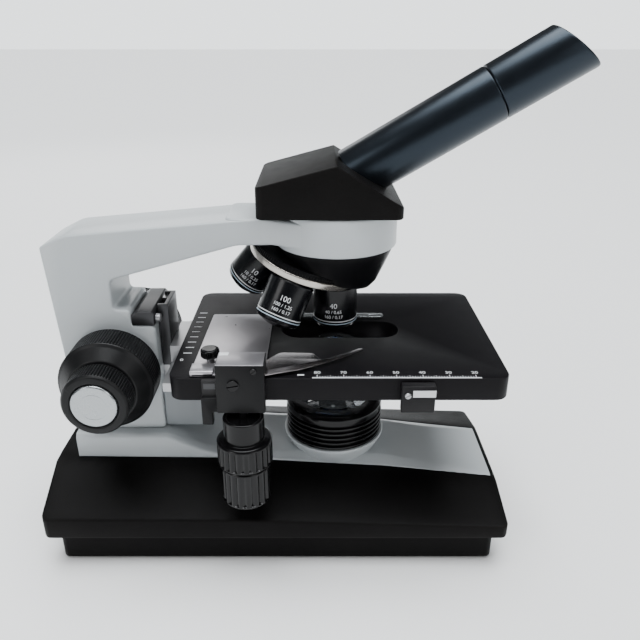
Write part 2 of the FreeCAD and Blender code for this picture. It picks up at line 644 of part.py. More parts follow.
dome = turned("Dome", [
    (0, 149), (18.3, 149), (23, 154.4), (26.4, 162), (29, 168),
    (31.6, "ring_floor - 0.05"), (0, "ring_floor - 0.05")])
# The room for the turret under the dome, and for the barrels that sweep below it.
below = on_nose(turned("Sweep", [
    (0, "nose_depth + 0.3"), ("nose_radius + 1.4", "nose_depth + 0.3"), ("nose_radius + 1.4", 7.8),
    ("nose_radius + 20", 7.8), ("nose_radius + 20", -40), (0, -40)]))
pivot_hole = on_nose(cylinder(4, 60))
keep("nosepiece_seat", cut(dome, below, pivot_hole, cylinder(10.5, 60, z=130)))

pivot = fuse(cylinder(3.98, "nose_depth + nose_hub_drop + 8", z="-nose_hub_drop - 0.4"),
             cylinder(6, 1.6, z="-nose_hub_drop - 2"))
pivot.Placement = FreeCAD.Placement(NOSE_CENTRE, NOSE_TURN)
keep("turret_pivot", pivot)

holes = []
for index in range(4):
    drill = cylinder("thread_radius", 40)
    at_hole(drill, index)
    drill.Placement = drill.Placement.multiply(
        FreeCAD.Placement(FreeCAD.Vector(0, 0, -20), FreeCAD.Rotation()))
    holes.append(drill)
plate = turned("TurretPlate", [
    (4.05, "-nose_hub_drop"), ("nose_radius - 2.2", 3), ("nose_radius - 1", 3.8),
    ("nose_radius - 1", 8.9), ("nose_radius - 2", "nose_depth"), (4.05, "nose_depth")])
on_nose(plate)
keep("nosepiece_turret", cut(plate, *holes))
keep("turret_ring", on_nose(turned("TurretRing", [
    ("nose_radius - 0.95", 3.9), ("nose_radius", 3.6), ("nose_radius + 0.3", 4),
    ("nose_radius + 0.3", 7), ("nose_radius", 7.4), ("nose_radius - 0.95", 7.4)])))

# Objectives are drawn with the shoulder at z = 0 and the front lens downwards.
OBJECTIVES = [("objective_40", 26.0, 5.0), ("objective_100", 26.0, 4.0),
              ("objective_10", 24.5, 6.5), ("objective_4", 20.5, 8.0)]
BARREL = "objective_radius"
for index, (label, length, nose) in enumerate(OBJECTIVES):
    body = turned("Objective", [
        (3.4, 5.5), (10.1, 5.5), (10.1, -0.3), (BARREL, -0.3), (BARREL, -length + 5),
        ("objective_radius - 1", -length + 2.6), (nose + 0.6, -length), (3.4, -length)])
    keep(label, at_hole(body, index))
lenses = [at_hole(cylinder(3.35, 2, z=0), index) for index in range(4)]
for lens, (_, length, _) in zip(lenses, OBJECTIVES):
    lens.Placement = lens.Placement.multiply(
        FreeCAD.Placement(FreeCAD.Vector(0, 0, -length + 0.3), FreeCAD.Rotation()))
keep("objective_lenses", group(*lenses))

# ---------------------------------------------------------------- head, tube and eyepiece

TUBE_TURN = FreeCAD.Rotation(FreeCAD.Vector(0, 1, 0), 90 - size("tube_rise"))
TUBE_FOOT = FreeCAD.Vector(size("tube_x"), 0, size("tube_z"))


def on_tube(thing, along=0):
    """Move a piece drawn about Z, starting at z = 0, to a place along the viewing tube."""
    step = TUBE_TURN.multVec(FreeCAD.Vector(0, 0, along))
    thing.Placement = FreeCAD.Placement(TUBE_FOOT + step, TUBE_TURN)
    return thing


wedge = pad("Head", "XZ_Plane", [
    ("head_back", "head_floor"), ("head_front", "head_floor"), ("head_front", "head_front_top"),
    ("head_apex_x", "head_apex"), ("head_back", "head_back_top")], "-head_half", "2 * head_half")
hollow = pad("HeadHollow", "XZ_Plane", [
    ("head_back + 4", "head_floor - 1"), ("head_front - 4", "head_floor - 1"),
    ("head_front - 4", "head_front_top - 3.5"), ("head_apex_x", "head_apex - 4"),
    ("head_back + 4", "head_back_top - 4")], "-head_half + 4", "2 * head_half - 8")
keep("head_housing", cut(rounded(wedge, 5, upright), hollow,
                         on_tube(cylinder("tube_radius + 0.02", 60), -size("tube_root") - 0.2)))
keep("head_dovetail", turned("Dovetail", [
    (14, 186), ("ring_bore - running_gap", 186), ("ring_bore - running_gap", "head_floor"),
    (26.5, "head_floor"), (26.5, "head_floor + 2.4"), (14, "head_floor + 2.4")]))
keep("head_prism", pad("Prism", "XZ_Plane", [
    (-11, 197), (11, 197), (11, 200), (-4, 211), (-11, 208)], -11, 22))
keep("viewing_tube", on_tube(cut(
    cylinder("tube_radius", "tube_length + tube_root", z="-tube_root"),
    cylinder("tube_bore", 120, z=6), cylinder(9, 40, z=-20))))
slant = FreeCAD.Rotation(FreeCAD.Vector(0, 1, 0), -22.8)
above = box((-30, 30), (-30, 30), (0, 40))
above.Placement = FreeCAD.Placement(FreeCAD.Vector(0, 0, size("guard_middle")), slant).multiply(
    FreeCAD.Placement(FreeCAD.Vector(-30, -30, 0), FreeCAD.Rotation()))
# The eye guard's rim is slanted, so that it is longest on the underside.
keep("eyepiece_barrel", on_tube(cut(turned("Eyepiece", [
    ("eyepiece_bore", "tube_length - 26"), ("eyepiece_insert", "tube_length - 26"),
    ("eyepiece_insert", "tube_length + 0.1"), ("tube_radius", "tube_length + 0.1"),
    ("tube_radius", "eyepiece_end"), ("tube_radius - 2", "eyepiece_end"),
    ("tube_radius - 2", "guard_middle - 12"), ("eyepiece_bore", "guard_middle - 13")]), above)))
keep("eyepiece_lenses", group(
    on_tube(turned("EyeLens", [(0, 0), (8.95, 0), (8.95, 3), (6, 4.4), (0, 5)]),
            size("guard_middle") - 15.6),
    on_tube(turned("FieldGlass", [(0, 0), (6, 0.6), (8.95, 2), (8.95, 4.5), (0, 4.5)]),
            size("tube_length") - 22)))

keep("head_clamp_screw", fuse(
    cylinder(3.04, 12, y=21.5 + 1.2, z=186, along="+Y"),
    cylinder(6.5, 8, y=34.2, z=186, along="+Y")))

# ---------------------------------------------------------------- check and write

doc.recompute()
faults = [f"{thing.Name}: {thing.State}" for thing in doc.Objects
          if "Invalid" in thing.State or "Error" in thing.State]
faults += [f"{thing.Label}: bad shape" for thing in nodes
           if thing.Shape.isNull() or not thing.Shape.isValid()]
if faults:
    raise RuntimeError("; ".join(faults))
os.makedirs("parts", exist_ok=True)
for thing in nodes:
    thing.Shape.exportStep(f"parts/{thing.Label}.step")
    print(thing.Label, len(thing.Shape.Solids), round(thing.Shape.Volume))
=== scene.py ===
"""The looks of a monocular microscope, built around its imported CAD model.

The row frame: the origin is where the optical axis meets the table, +X points from the arm to
the front of the stage, +Y to the far side and +Z up. Lengths below are in millimetres and
become metres in the mesh helpers.
"""

import json
import math

import bmesh
import bpy
from mathutils import Matrix, Vector


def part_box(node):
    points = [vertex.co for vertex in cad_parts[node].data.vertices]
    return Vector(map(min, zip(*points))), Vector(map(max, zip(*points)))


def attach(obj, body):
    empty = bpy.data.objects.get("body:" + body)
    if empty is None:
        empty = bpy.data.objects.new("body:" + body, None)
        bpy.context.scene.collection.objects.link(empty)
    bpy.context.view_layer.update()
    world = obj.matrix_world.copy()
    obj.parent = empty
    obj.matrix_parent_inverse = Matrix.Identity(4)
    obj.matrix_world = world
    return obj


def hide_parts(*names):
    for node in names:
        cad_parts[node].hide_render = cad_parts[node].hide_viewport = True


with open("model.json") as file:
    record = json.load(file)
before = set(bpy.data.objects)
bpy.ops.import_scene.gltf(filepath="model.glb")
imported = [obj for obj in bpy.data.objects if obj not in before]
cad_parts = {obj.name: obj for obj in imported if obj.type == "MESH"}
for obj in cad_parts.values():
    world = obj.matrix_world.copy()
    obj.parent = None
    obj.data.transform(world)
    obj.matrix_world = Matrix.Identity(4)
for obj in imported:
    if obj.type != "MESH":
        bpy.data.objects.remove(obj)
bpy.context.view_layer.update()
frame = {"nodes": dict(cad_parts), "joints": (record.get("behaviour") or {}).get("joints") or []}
MM = 0.001
SHARP_EDGE = math.radians(28)
NEARLY_STRAIGHT = math.radians(172)
# A font's size for characters one unit high.
SIZE_PER_HEIGHT = 1.38
JOINTS = {joint["name"]: joint for joint in frame["joints"]}


def box(node):
    """The (low, high) corners of a CAD node in millimetres."""
    low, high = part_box(node)
    return low / MM, high / MM


def corners(node):
    """The box of a CAD node as x0, x1, y0, y1, z0, z1."""
    low, high = box(node)
    return low.x, high.x, low.y, high.y, low.z, high.z


def frame_along(position, axis, side=(1, 0, 0)):
    """A matrix whose Z runs along axis, for pieces that are drawn about their own Z axis."""
    z = Vector(axis).normalized()
    x = Vector(side) - Vector(side).dot(z) * z
    x.normalize()
    y = z.cross(x)
    turn = Matrix((x, y, z)).transposed().to_4x4()
    return Matrix.Translation(Vector(position)) @ turn


# ---------------------------------------------------------------- mesh helpers

def linked(name, data):
    """A new object in the scene."""
    thing = bpy.data.objects.new(name, data)
    bpy.context.scene.collection.objects.link(thing)
    return thing


def finish_mesh(name, bm, place=None, smooth=35, bevel=0.0, steps=3):
    """Turn a bmesh drawn in millimetres into a smooth-shaded object in metres."""
    bmesh.ops.remove_doubles(bm, verts=bm.verts, dist=1e-4)
    bmesh.ops.recalc_face_normals(bm, faces=bm.faces)
    if bevel:
        sharp = [e for e in bm.edges if len(e.link_faces) == 2
                 and e.calc_face_angle(0) > SHARP_EDGE]
        bmesh.ops.bevel(bm, geom=sharp, offset=bevel, segments=steps, profile=0.5,
                        affect="EDGES", clamp_overlap=True)
    if place is not None:
        bm.transform(place)
    bm.transform(Matrix.Scale(MM, 4))
    mesh = bpy.data.meshes.new(name)
    bm.to_mesh(mesh)
    bm.free()
    mesh.shade_smooth()
    mesh.set_sharp_from_angle(angle=math.radians(smooth))
    return linked(name, mesh)


def soften(points, radius, steps=4, closed=True):
    """Round the corners of an outline with arcs."""
    result = []
    count = len(points)
    for index, corner in enumerate(points):
        if not closed and index in (0, count - 1):
            result.append(tuple(corner))
            continue
        p = Vector(corner)
        a, b = Vector(points[index - 1]) - p, Vector(points[(index + 1) % count]) - p
        reach = min(radius, a.length * 0.49, b.length * 0.49)
        turn = a.angle(b) if a.length and b.length else math.pi
        if turn > NEARLY_STRAIGHT or reach < 1e-3:
            result.append(tuple(corner))
            continue
        start, end = p + a.normalized() * reach, p + b.normalized() * reach
        for step in range(steps + 1):
            t = step / steps
            result.append(tuple(start * (1 - t) ** 2 + p * 2 * t * (1 - t) + end * t * t))
    return result


def rounded_rect(x0, x1, y0, y1, radius, steps=8):
    """A rectangle's outline with round corners."""
    points = []
    for cx, cy, start in ((x1 - radius, y1 - radius, 0), (x0 + radius, y1 - radius, 90),
                          (x0 + radius, y0 + radius, 180), (x1 - radius, y0 + radius, 270)):
        for step in range(steps + 1):
            angle = math.radians(start + 90 * step / steps)
            points.append((cx + radius * math.cos(angle), cy + radius * math.sin(angle)))
    return points


PLANES = {
    "Z": lambda u, v, w: Vector((u, v, w)),
    "Y": lambda u, v, w: Vector((u, w, v)),
    "X": lambda u, v, w: Vector((w, u, v)),
}


def prism(name, outline, low, high, along="Z", bevel=0.4, steps=3):
    """An outline pushed from low to high along an axis, with its edges rounded."""
    bm = bmesh.new()
    rings = [[bm.verts.new(PLANES[along](u, v, level)) for u, v in outline]
             for level in (low, high)]
    for index in range(len(outline)):
        following = (index + 1) % len(outline)
        bm.faces.new((rings[0][index], rings[0][following], rings[1][following],
                      rings[1][index]))
    bm.faces.new(rings[0])
    bm.faces.new(rings[1])
    return finish_mesh(name, bm, bevel=bevel, steps=steps)


def block(name, x, y, z, bevel=0.5, steps=3):
    """A box between (low, high) pairs, with rounded edges."""
    outline = [(x[0], y[0]), (x[1], y[0]), (x[1], y[1]), (x[0], y[1])]
    return prism(name, outline, z[0], z[1], "Z", bevel, steps)


def loft(name, rings, smooth):
    """A skin through closed rings of 3-D points, capped at both ends."""
    bm = bmesh.new()
    made = [[bm.verts.new(Vector(p)) for p in ring] for ring in rings]
    count = len(rings[0])
    for first, second in zip(made, made[1:]):
        for index in range(count):
            following = (index + 1) % count
            bm.faces.new((first[index], first[following], second[following], second[index]))
    bm.faces.new(made[0])
    bm.faces.new(made[-1])
    return finish_mesh(name, bm, smooth=smooth)


def lathe(name, profile, place=None, segments=96, round_off=0.35, flutes=None):
    """A profile of (radius, height) turned about Z.

    The profile is open from axis to axis, or closed when no end lies on the axis.
    flutes is (count, depth, low, high, least radius): ribs cut into the part of the surface
    between two heights.
    """
    closed = profile[0][0] > 1e-6 or profile[-1][0] > 1e-6
    line = soften(profile, round_off, 3, closed) if round_off else list(profile)
    if flutes:
        line = divided(line, flutes)
        segments = flutes[0] * 6
    bm = bmesh.new()
    rings = []
    for radius, height in line:
        if radius < 1e-6:
            rings.append([bm.verts.new((0, 0, height))] * segments)
            continue
        ring = []
        for index in range(segments):
            angle = 2 * math.pi * index / segments
            r = radius
            if flutes and flutes[2] <= height <= flutes[3] and radius >= flutes[4]:
                wave = 0.5 - 0.5 * math.cos(angle * flutes[0])
                r -= flutes[1] * wave ** 1.6
            ring.append(bm.verts.new((r * math.cos(angle), r * math.sin(angle), height)))
        rings.append(ring)
    pairs = list(zip(rings, rings[1:])) + ([(rings[-1], rings[0])] if closed else [])
    for first, second in pairs:
        for index in range(segments):
            following = (index + 1) % segments
            around_face = [first[index], first[following], second[following], second[index]]
            unique = list(dict.fromkeys(around_face))
            if len(unique) > 2:
                bm.faces.new(unique)
    return finish_mesh(name, bm, place)


def divided(line, flutes):
    """Add points to a profile at the heights where its flutes start and end."""
    result = [line[0]]
    for (r0, z0), (r1, z1) in zip(line, line[1:]):
        cuts = sorted({limit + step for limit in flutes[2:4] for step in (-0.15, 0.15)
                       if min(z0, z1) < limit + step < max(z0, z1)}, reverse=z1 < z0)
        for cut in cuts:
            share = (cut - z0) / (z1 - z0)
            result.append((r0 + share * (r1 - r0), cut))
        result.append((r1, z1))
    return result


def text_mesh(name, text, height, depth):
    """Characters as a mesh in millimetres, centred on the origin."""
    curve = bpy.data.curves.new(name, "FONT")
    curve.body = text
    curve.size = height * SIZE_PER_HEIGHT
    curve.extrude = depth
    curve.align_x = "CENTER"
    curve.align_y = "CENTER"
    holder = bpy.data.objects.new(name, curve)
    mesh = bpy.data.meshes.new_from_object(holder)
    bpy.data.objects.remove(holder)
    return mesh


def lettering(name, text, height, place):
    """Flat raised characters, centred on a place."""
    mesh = text_mesh(name, text, height, 0.05)
    mesh.transform(Matrix.Scale(MM, 4) @ place)
    return linked(name, mesh)


def joined(name, things):
    """Several meshes as one object; each keeps its own material."""
    bm = bmesh.new()
    slots = []
    for thing in things:
        start = len(bm.faces)
        bm.from_mesh(thing.data)
        bm.faces.ensure_lookup_table()
        material = thing.data.materials[0] if thing.data.materials else None
        if material not in slots:
            slots.append(material)
        for face in bm.faces[start:]:
            face.material_index = slots.index(material)
    mesh = bpy.data.meshes.new(name)
    bm.to_mesh(mesh)
    bm.free()
    for material in slots:
        mesh.materials.append(material)
    for thing in things:
        bpy.data.objects.remove(thing)
    return linked(name, mesh)


# ---------------------------------------------------------------- materials

def material(name, color, rough, metal=0.0, coat=0.0, rough_spread=0.06, color_spread=0.08,
             grain=0.0, grain_size=0.4, edge_wear_and_highlight=0.0, edge_wear_and_highlight_color=(0.5, 0.5, 0.5), stretch=None,
             specular=0.5, cloud=30.0, sheen=(1.0, 1.0, 1.0)):
    """A procedural surface: cloudy colour and roughness, a fine grain and lighter raised edges.

    grain is the bump's height in millimetres and grain_size the size of its features. stretch
    draws the grain out along an axis, as brushing does. The wear arguments lighten the raised
    edges: wear, and where they are set high, a painted edge highlight too. sheen is the colour
    of the surface's reflections.
    """
    thing = bpy.data.materials.new(name)
    thing.use_nodes = True
    nodes, links = thing.node_tree.nodes, thing.node_tree.links
    shader = nodes["Principled BSDF"]
    shader.inputs["Metallic"].default_value = metal
    shader.inputs["Coat Weight"].default_value = coat
    shader.inputs["Coat Roughness"].default_value = 0.12
    shader.inputs["Specular IOR Level"].default_value = specular
    shader.inputs["Specular Tint"].default_value = (*sheen, 1)
    place = nodes.new("ShaderNodeTexCoord")
    clouds = nodes.new("ShaderNodeTexNoise")
    clouds.inputs["Scale"].default_value = cloud
    clouds.inputs["Detail"].default_value = 6
    links.new(place.outputs["Object"], clouds.inputs["Vector"])
    tint = nodes.new("ShaderNodeMix")
    tint.data_type = "RGBA"
    low = [c * (1 - color_spread) for c in color]
    high = [min(1, c * (1 + color_spread)) for c in color]
    tint.inputs["A"].default_value = (*low, 1)
    tint.inputs["B"].default_value = (*high, 1)
    links.new(clouds.outputs["Fac"], tint.inputs["Factor"])
    last = tint.outputs["Result"]
    # Lighter raised edges: wear, and where set high, a painted edge highlight as well.
    if edge_wear_and_highlight:
        geometry = nodes.new("ShaderNodeNewGeometry")
        edge = nodes.new("ShaderNodeMapRange")
        edge.inputs["From Min"].default_value = 0.52
        edge.inputs["From Max"].default_value = 0.66
        edge.inputs["To Max"].default_value = edge_wear_and_highlight
        links.new(geometry.outputs["Pointiness"], edge.inputs["Value"])
        patch = nodes.new("ShaderNodeMath")
        patch.operation = "MULTIPLY"
        links.new(edge.outputs["Result"], patch.inputs[0])
        links.new(clouds.outputs["Fac"], patch.inputs[1])
        wear_and_highlight_mix = nodes.new("ShaderNodeMix")
        wear_and_highlight_mix.data_type = "RGBA"
        wear_and_highlight_mix.inputs["B"].default_value = (*edge_wear_and_highlight_color, 1)
        links.new(patch.outputs["Value"], wear_and_highlight_mix.inputs["Factor"])
        links.new(last, wear_and_highlight_mix.inputs["A"])
        last = wear_and_highlight_mix.outputs["Result"]
    links.new(last, shader.inputs["Base Color"])
    gloss = nodes.new("ShaderNodeMapRange")
    gloss.inputs["To Min"].default_value = max(0.02, rough - rough_spread)
    gloss.inputs["To Max"].default_value = min(1, rough + rough_spread)
    smear = nodes.new("ShaderNodeTexNoise")
    smear.inputs["Scale"].default_value = cloud * 4
    smear.inputs["Detail"].default_value = 8
    links.new(place.outputs["Object"], smear.inputs["Vector"])
    links.new(smear.outputs["Fac"], gloss.inputs["Value"])
    links.new(gloss.outputs["Result"], shader.inputs["Roughness"])
    if grain:
        texture = nodes.new("ShaderNodeTexNoise")
        texture.inputs["Scale"].default_value = 1 / (grain_size * MM)
        texture.inputs["Detail"].default_value = 3
        if stretch:
            mapping = nodes.new("ShaderNodeMapping")
            mapping.inputs["Scale"].default_value = stretch
            links.new(place.outputs["Object"], mapping.inputs["Vector"])
            links.new(mapping.outputs["Vector"], texture.inputs["Vector"])
        else:
            links.new(place.outputs["Object"], texture.inputs["Vector"])
        bump = nodes.new("ShaderNodeBump")
        bump.inputs["Distance"].default_value = grain * MM
        bump.inputs["Strength"].default_value = 1.0
        links.new(texture.outputs["Fac"], bump.inputs["Height"])
        links.new(bump.outputs["Normal"], shader.inputs["Normal"])
    return thing


def glass(name, color, rough=0.03, coat=1.0, dark=0.0):
    """Coated optical glass: clear, with a tinted reflection."""
    thing = bpy.data.materials.new(name)
    thing.use_nodes = True
    shader = thing.node_tree.nodes["Principled BSDF"]
    shader.inputs["Base Color"].default_value = (*color, 1)
    shader.inputs["Roughness"].default_value = rough
    shader.inputs["IOR"].default_value = 1.52
    shader.inputs["Transmission Weight"].default_value = 1.0 - dark
    shader.inputs["Coat Weight"].default_value = coat
    return thing


M = {
    # The crackle's lighter raised edges are set high: partly wear and partly a painted edge
    # highlight.
    "crackle": material("crackle_black", (0.0035, 0.0032, 0.0032), 0.46, grain=0.10,
                        grain_size=0.55, edge_wear_and_highlight=0.5, edge_wear_and_highlight_color=(0.12, 0.11, 0.10),
                        color_spread=0.35, specular=0.06),
    "black_enamel": material("black_enamel", (0.0028, 0.0028, 0.0034), 0.34, grain=0.03,
                             grain_size=0.30, edge_wear_and_highlight=0.25, edge_wear_and_highlight_color=(0.09, 0.09, 0.09),
                             color_spread=0.25, specular=0.09),
    "stage_black": material("stage_black", (0.0045, 0.0040, 0.0050), 0.40, grain=0.035,
                            grain_size=0.28, edge_wear_and_highlight=0.3, edge_wear_and_highlight_color=(0.12, 0.12, 0.12),
                            color_spread=0.18, specular=0.09),
    # The tube's sheen tints its reflections blue: painted light, a bluish reflection that the lamps
    # don't give.
    "tube_black": material("tube_black", (0.004, 0.0045, 0.0058), 0.3, grain=0.012,
                           grain_size=0.2, color_spread=0.15, edge_wear_and_highlight=0.15,
                           edge_wear_and_highlight_color=(0.06, 0.065, 0.075), specular=0.42,
                           sheen=(0.62, 0.8, 1.0)),
    "lens_black": material("objective_black", (0.003, 0.0033, 0.0045), 0.24, coat=0.05,
                           grain=0.008, grain_size=0.2, edge_wear_and_highlight=0.15, edge_wear_and_highlight_color=(0.07, 0.07, 0.07),
                           specular=0.25),
    "gloss_black": material("gloss_black", (0.0028, 0.0026, 0.003), 0.2, coat=0.05, grain=0.006,
                            grain_size=0.6, edge_wear_and_highlight=0.1, edge_wear_and_highlight_color=(0.05, 0.05, 0.05),
                            specular=0.22),
    "knob_black": material("knob_black", (0.0045, 0.0045, 0.005), 0.36, grain=0.02,
                           grain_size=0.25, edge_wear_and_highlight=0.3, edge_wear_and_highlight_color=(0.08, 0.08, 0.08),
                           color_spread=0.2, specular=0.22),
    "enamel": material("pale_enamel", (0.47, 0.50, 0.515), 0.36, coat=0.15, grain=0.018,
                       grain_size=0.9, edge_wear_and_highlight=0.25, edge_wear_and_highlight_color=(0.80, 0.80, 0.80),
                       color_spread=0.035, cloud=18),
    # A darker copy of the pale enamel: painted shade, for the shade that falls on the box under the
    # stage.
    "painted_shade_grey_enamel": material("painted_shade_grey_enamel", (0.24, 0.26, 0.275), 0.4, coat=0.1, grain=0.018,
                            grain_size=0.9, edge_wear_and_highlight=0.2, edge_wear_and_highlight_color=(0.6, 0.6, 0.6),
                            color_spread=0.05, cloud=18),
    "silver": material("satin_silver", (0.38, 0.40, 0.41), 0.26, metal=0.9, grain=0.006,
                       grain_size=0.25, color_spread=0.04),
    "plate": material("satin_plate", (0.41, 0.395, 0.415), 0.3, metal=0.9, grain=0.010,
                      grain_size=0.5, stretch=(1, 14, 1), color_spread=0.10, cloud=45),
    "leaf": material("spring_leaf", (0.26, 0.24, 0.245), 0.24, metal=1, grain=0.006,
                     grain_size=0.5, color_spread=0.15, cloud=60),
    "chrome": material("turned_chrome", (0.50, 0.47, 0.43), 0.22, metal=0.85, grain=0.004,
                       grain_size=0.3, color_spread=0.05),
    "steel": material("ground_steel", (0.42, 0.42, 0.43), 0.33, metal=0.8, grain=0.006,
                      grain_size=0.3, color_spread=0.08),
    "dark_steel": material("dark_steel", (0.05, 0.05, 0.053), 0.35, metal=0.7, grain=0.01,
                           grain_size=0.3),
    "brass": material("machined_brass", (0.60, 0.44, 0.20), 0.3, metal=1, grain=0.008,
                      grain_size=0.3),
    "rubber": material("black_rubber", (0.01, 0.01, 0.01), 0.7, grain=0.03, grain_size=0.4,
                       specular=0.2),
    "plastic": material("black_plastic", (0.006, 0.006, 0.0063), 0.45, grain=0.02,
                        grain_size=0.35, specular=0.3),
    "ink": material("white_ink", (0.72, 0.73, 0.75), 0.5),
    "blue_ink": material("pale_blue_ink", (0.45, 0.56, 0.66), 0.45),
    "lens": glass("coated_lens", (0.80, 0.86, 0.92)),
    "blue_glass": glass("blue_filter", (0.25, 0.45, 0.85)),
    "bulb": glass("lamp_glass", (0.95, 0.93, 0.9)),
    "mirror": material("mirror_silver", (0.85, 0.86, 0.86), 0.05, metal=1, rough_spread=0.02),
}


def paint(thing, look):
    thing.data.materials.clear()
    thing.data.materials.append(M[look])
    return thing


def place_piece(thing, body, look, slot, *replaced):
    """Give a piece its material, its body and the CAD nodes it stands for; slot is not used."""
    if look:
        paint(thing, look)
    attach(thing, body)
    if replaced:
        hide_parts(*replaced)
    return thing


def sheet_with_holes(name, outlines, low, high, bevel):
    """A flat plate from an outer outline and the outlines of its holes."""
    curve = bpy.data.curves.new(name, "CURVE")
    curve.dimensions = "2D"
    curve.fill_mode = "BOTH"
    for outline in outlines:
        spline = curve.splines.new("POLY")
        spline.points.add(len(outline) - 1)
        for target, (u, v) in zip(spline.points, outline):
            target.co = (u * MM, v * MM, 0, 1)
        spline.use_cyclic_u = True
    curve.extrude = ((high - low) / 2 - bevel) * MM
    curve.bevel_depth = bevel * MM
    curve.bevel_resolution = 2
    curve.offset = -bevel * MM
    holder = bpy.data.objects.new(name, curve)
    mesh = bpy.data.meshes.new_from_object(holder)
    bpy.data.objects.remove(holder)
    mesh.transform(Matrix.Translation((0, 0, (low + high) / 2 * MM)))
    bm = bmesh.new()
    bm.from_mesh(mesh)
    bm.transform(Matrix.Scale(1 / MM, 4))
    bpy.data.meshes.remove(mesh)
    bmesh.ops.remove_doubles(bm, verts=bm.verts, dist=0.002)
    return finish_mesh(name, bm)


# ---------------------------------------------------------------- base

BASE_BACK, BASE_FRONT, BASE_NEAR, BASE_FAR, BASE_FLOOR, _ = corners("base_casting")
LIP_BOTTOM = 20.3
# The roof of the base rises between these distances from the middle line.
ROOF_EDGE, ROOF_RIDGE = 66.5, 27
# Places along X with the heights of the roof's edge and of its ridge.
BASE_STATIONS = ((-168.5, 30.2, 50.5), (-55, 30.2, 49), (30, 28, 43.7), (102, 27, 35.5))


def between(x, rows):
    """Straight-line interpolation in rows of (x, value, value, ...)."""
    for first, second in zip(rows, rows[1:]):
        if x <= second[0] or second is rows[-1]:
            share = min(1, max(0, (x - first[0]) / (second[0] - first[0])))
            return [a + share * (b - a) for a, b in zip(first[1:], second[1:])]


def roof_height(x, y):
    """The base's roof: from the upright edge up to the ridge beside the cover."""
    edge, ridge = between(x, BASE_STATIONS)
    share = min(1, max(0, (ROOF_EDGE - abs(y)) / (ROOF_EDGE - ROOF_RIDGE)))
    return edge + share * (ridge - edge)


def base_shell():
    """The casting: an upright foot, the lip round it and the roof, as rings from the floor up."""
    rings = []

    def ring(inset, height=None, drop=0.0):
        outline = rounded_rect(BASE_BACK + inset, BASE_FRONT - inset, BASE_NEAR + inset,
                               BASE_FAR - inset, 4 if inset > 2.5 else 4 - inset, 10)
        dense = []
        for index, first in enumerate(outline):
            second = outline[(index + 1) % len(outline)]
            parts = 12 if index % 11 == 10 else 1
            dense += [(first[0] + (second[0] - first[0]) * k / parts,
                       first[1] + (second[1] - first[1]) * k / parts) for k in range(parts)]
        rings.append([(x, y, height if height is not None else roof_height(x, y) - drop)
                      for x, y in dense])

    ring(7, BASE_FLOOR)
    ring(6, BASE_FLOOR + 1)
    ring(6, LIP_BOTTOM - 0.6)
    ring(5.4, LIP_BOTTOM)
    ring(1.0, LIP_BOTTOM)
    ring(0.2, LIP_BOTTOM + 0.5)
    ring(0, LIP_BOTTOM + 1.6)
    ring(0, drop=1.1)
    ring(0.15, drop=0.5)
    ring(0.6, drop=0.1)
    ring(1.3)
    for inset in (6, 12, 18, 24, 30, 36, 42, 48, 54, 58):
        ring(inset)
    return loft("base_shell", rings, 40)


place_piece(base_shell(), "base", "crackle", "black_casting", "base_casting")

COVER_BACK, COVER_FRONT = corners("base_cover")[:2]
# Columns: place along X, top height, half width, drop of the shoulder, depth of the shoulder.
COVER_STATIONS = (
    (-150, 65.5, 25, 2, 2), (-97, 65.5, 25, 2, 2), (-88, 61.3, 25, 2.3, 3),
    (-79, 57.9, 25, 2.9, 4), (-62, 52.2, 25, 1.8, 5.5), (-9, 50, 25, 3.2, 6),
    (30, 47.8, 25, 3.4, 6), (61, 42.1, 25, 1.6, 6), (93, 37.15, 25, 0.45, 2.5))


def cover_section(x):
    """The cover's outline across the base at a place along X."""
    top, half, drop, depth = between(x, COVER_STATIONS)
    low = roof_height(x, half) - 0.3
    line = [(-half, low), (-half, top - drop), (-half + depth, top), (half - depth, top),
            (half, top - drop), (half, low)]
    return [(x, y, z) for y, z in soften(line, 1.2, 3)]


def base_cover():
    """The cover and the raised seat under the light collector."""
    steps = 60
    places = [COVER_BACK + (COVER_FRONT - COVER_BACK) * step / steps for step in range(steps + 1)]
    skin = loft("cover_skin", [cover_section(x) for x in places], 50)
    seat = lathe("cover_seat", [(19.05, 44), (24, 44), (29.9, 55.4), (29.9, 56.7), (29.5, 57),
                                (19.05, 57)], None, 128, 0.3)
    return joined("base_cover_shell", [paint(skin, "enamel"), paint(seat, "enamel")])


place_piece(base_cover(), "base", None, "arm_enamel", "base_cover")

for node, look in (("bottom_plate", "plastic"), ("lamp_socket", "plastic"),
                   ("lamp_bulb", "bulb"), ("lamp_mirror", "mirror"), ("power_inlet", "plastic"),
                   ("power_rocker", "plastic"), ("focus_guide_rails", "steel"),
                   ("focus_bushes", "brass"), ("coarse_shaft", "steel"), ("fine_shaft", "steel"),
                   ("focus_rack", "brass"), ("condenser_holder", "black_enamel"),
                   ("condenser_barrel", "silver"), ("condenser_lens", "lens"),
                   ("iris_lever", "steel"), ("filter_holder", "black_enamel"),
                   ("filter_glass", "blue_glass"), ("field_lens", "lens"),
                   ("turret_pivot", "steel"), ("objective_lenses", "lens"),
                   ("head_dovetail", "steel"), ("head_prism", "lens"),
                   ("eyepiece_lenses", "lens"), ("holder_stud", "steel"),
                   ("nosepiece_seat", "black_enamel"), ("rubber_feet", "rubber"),
                   ("brightness_dial", "plastic"), ("stage_bracket", "steel"),
                   ("x_vernier_plate", "stage_black")):
    paint(frame["nodes"][node], look)

# ---------------------------------------------------------------- arm and column

ARM_HALF = 18.5
RING_RADIUS, RING_BORE = 32.75, 22
RING_LOW, RING_TOP = 174.3, box("arm_casting")[1].z


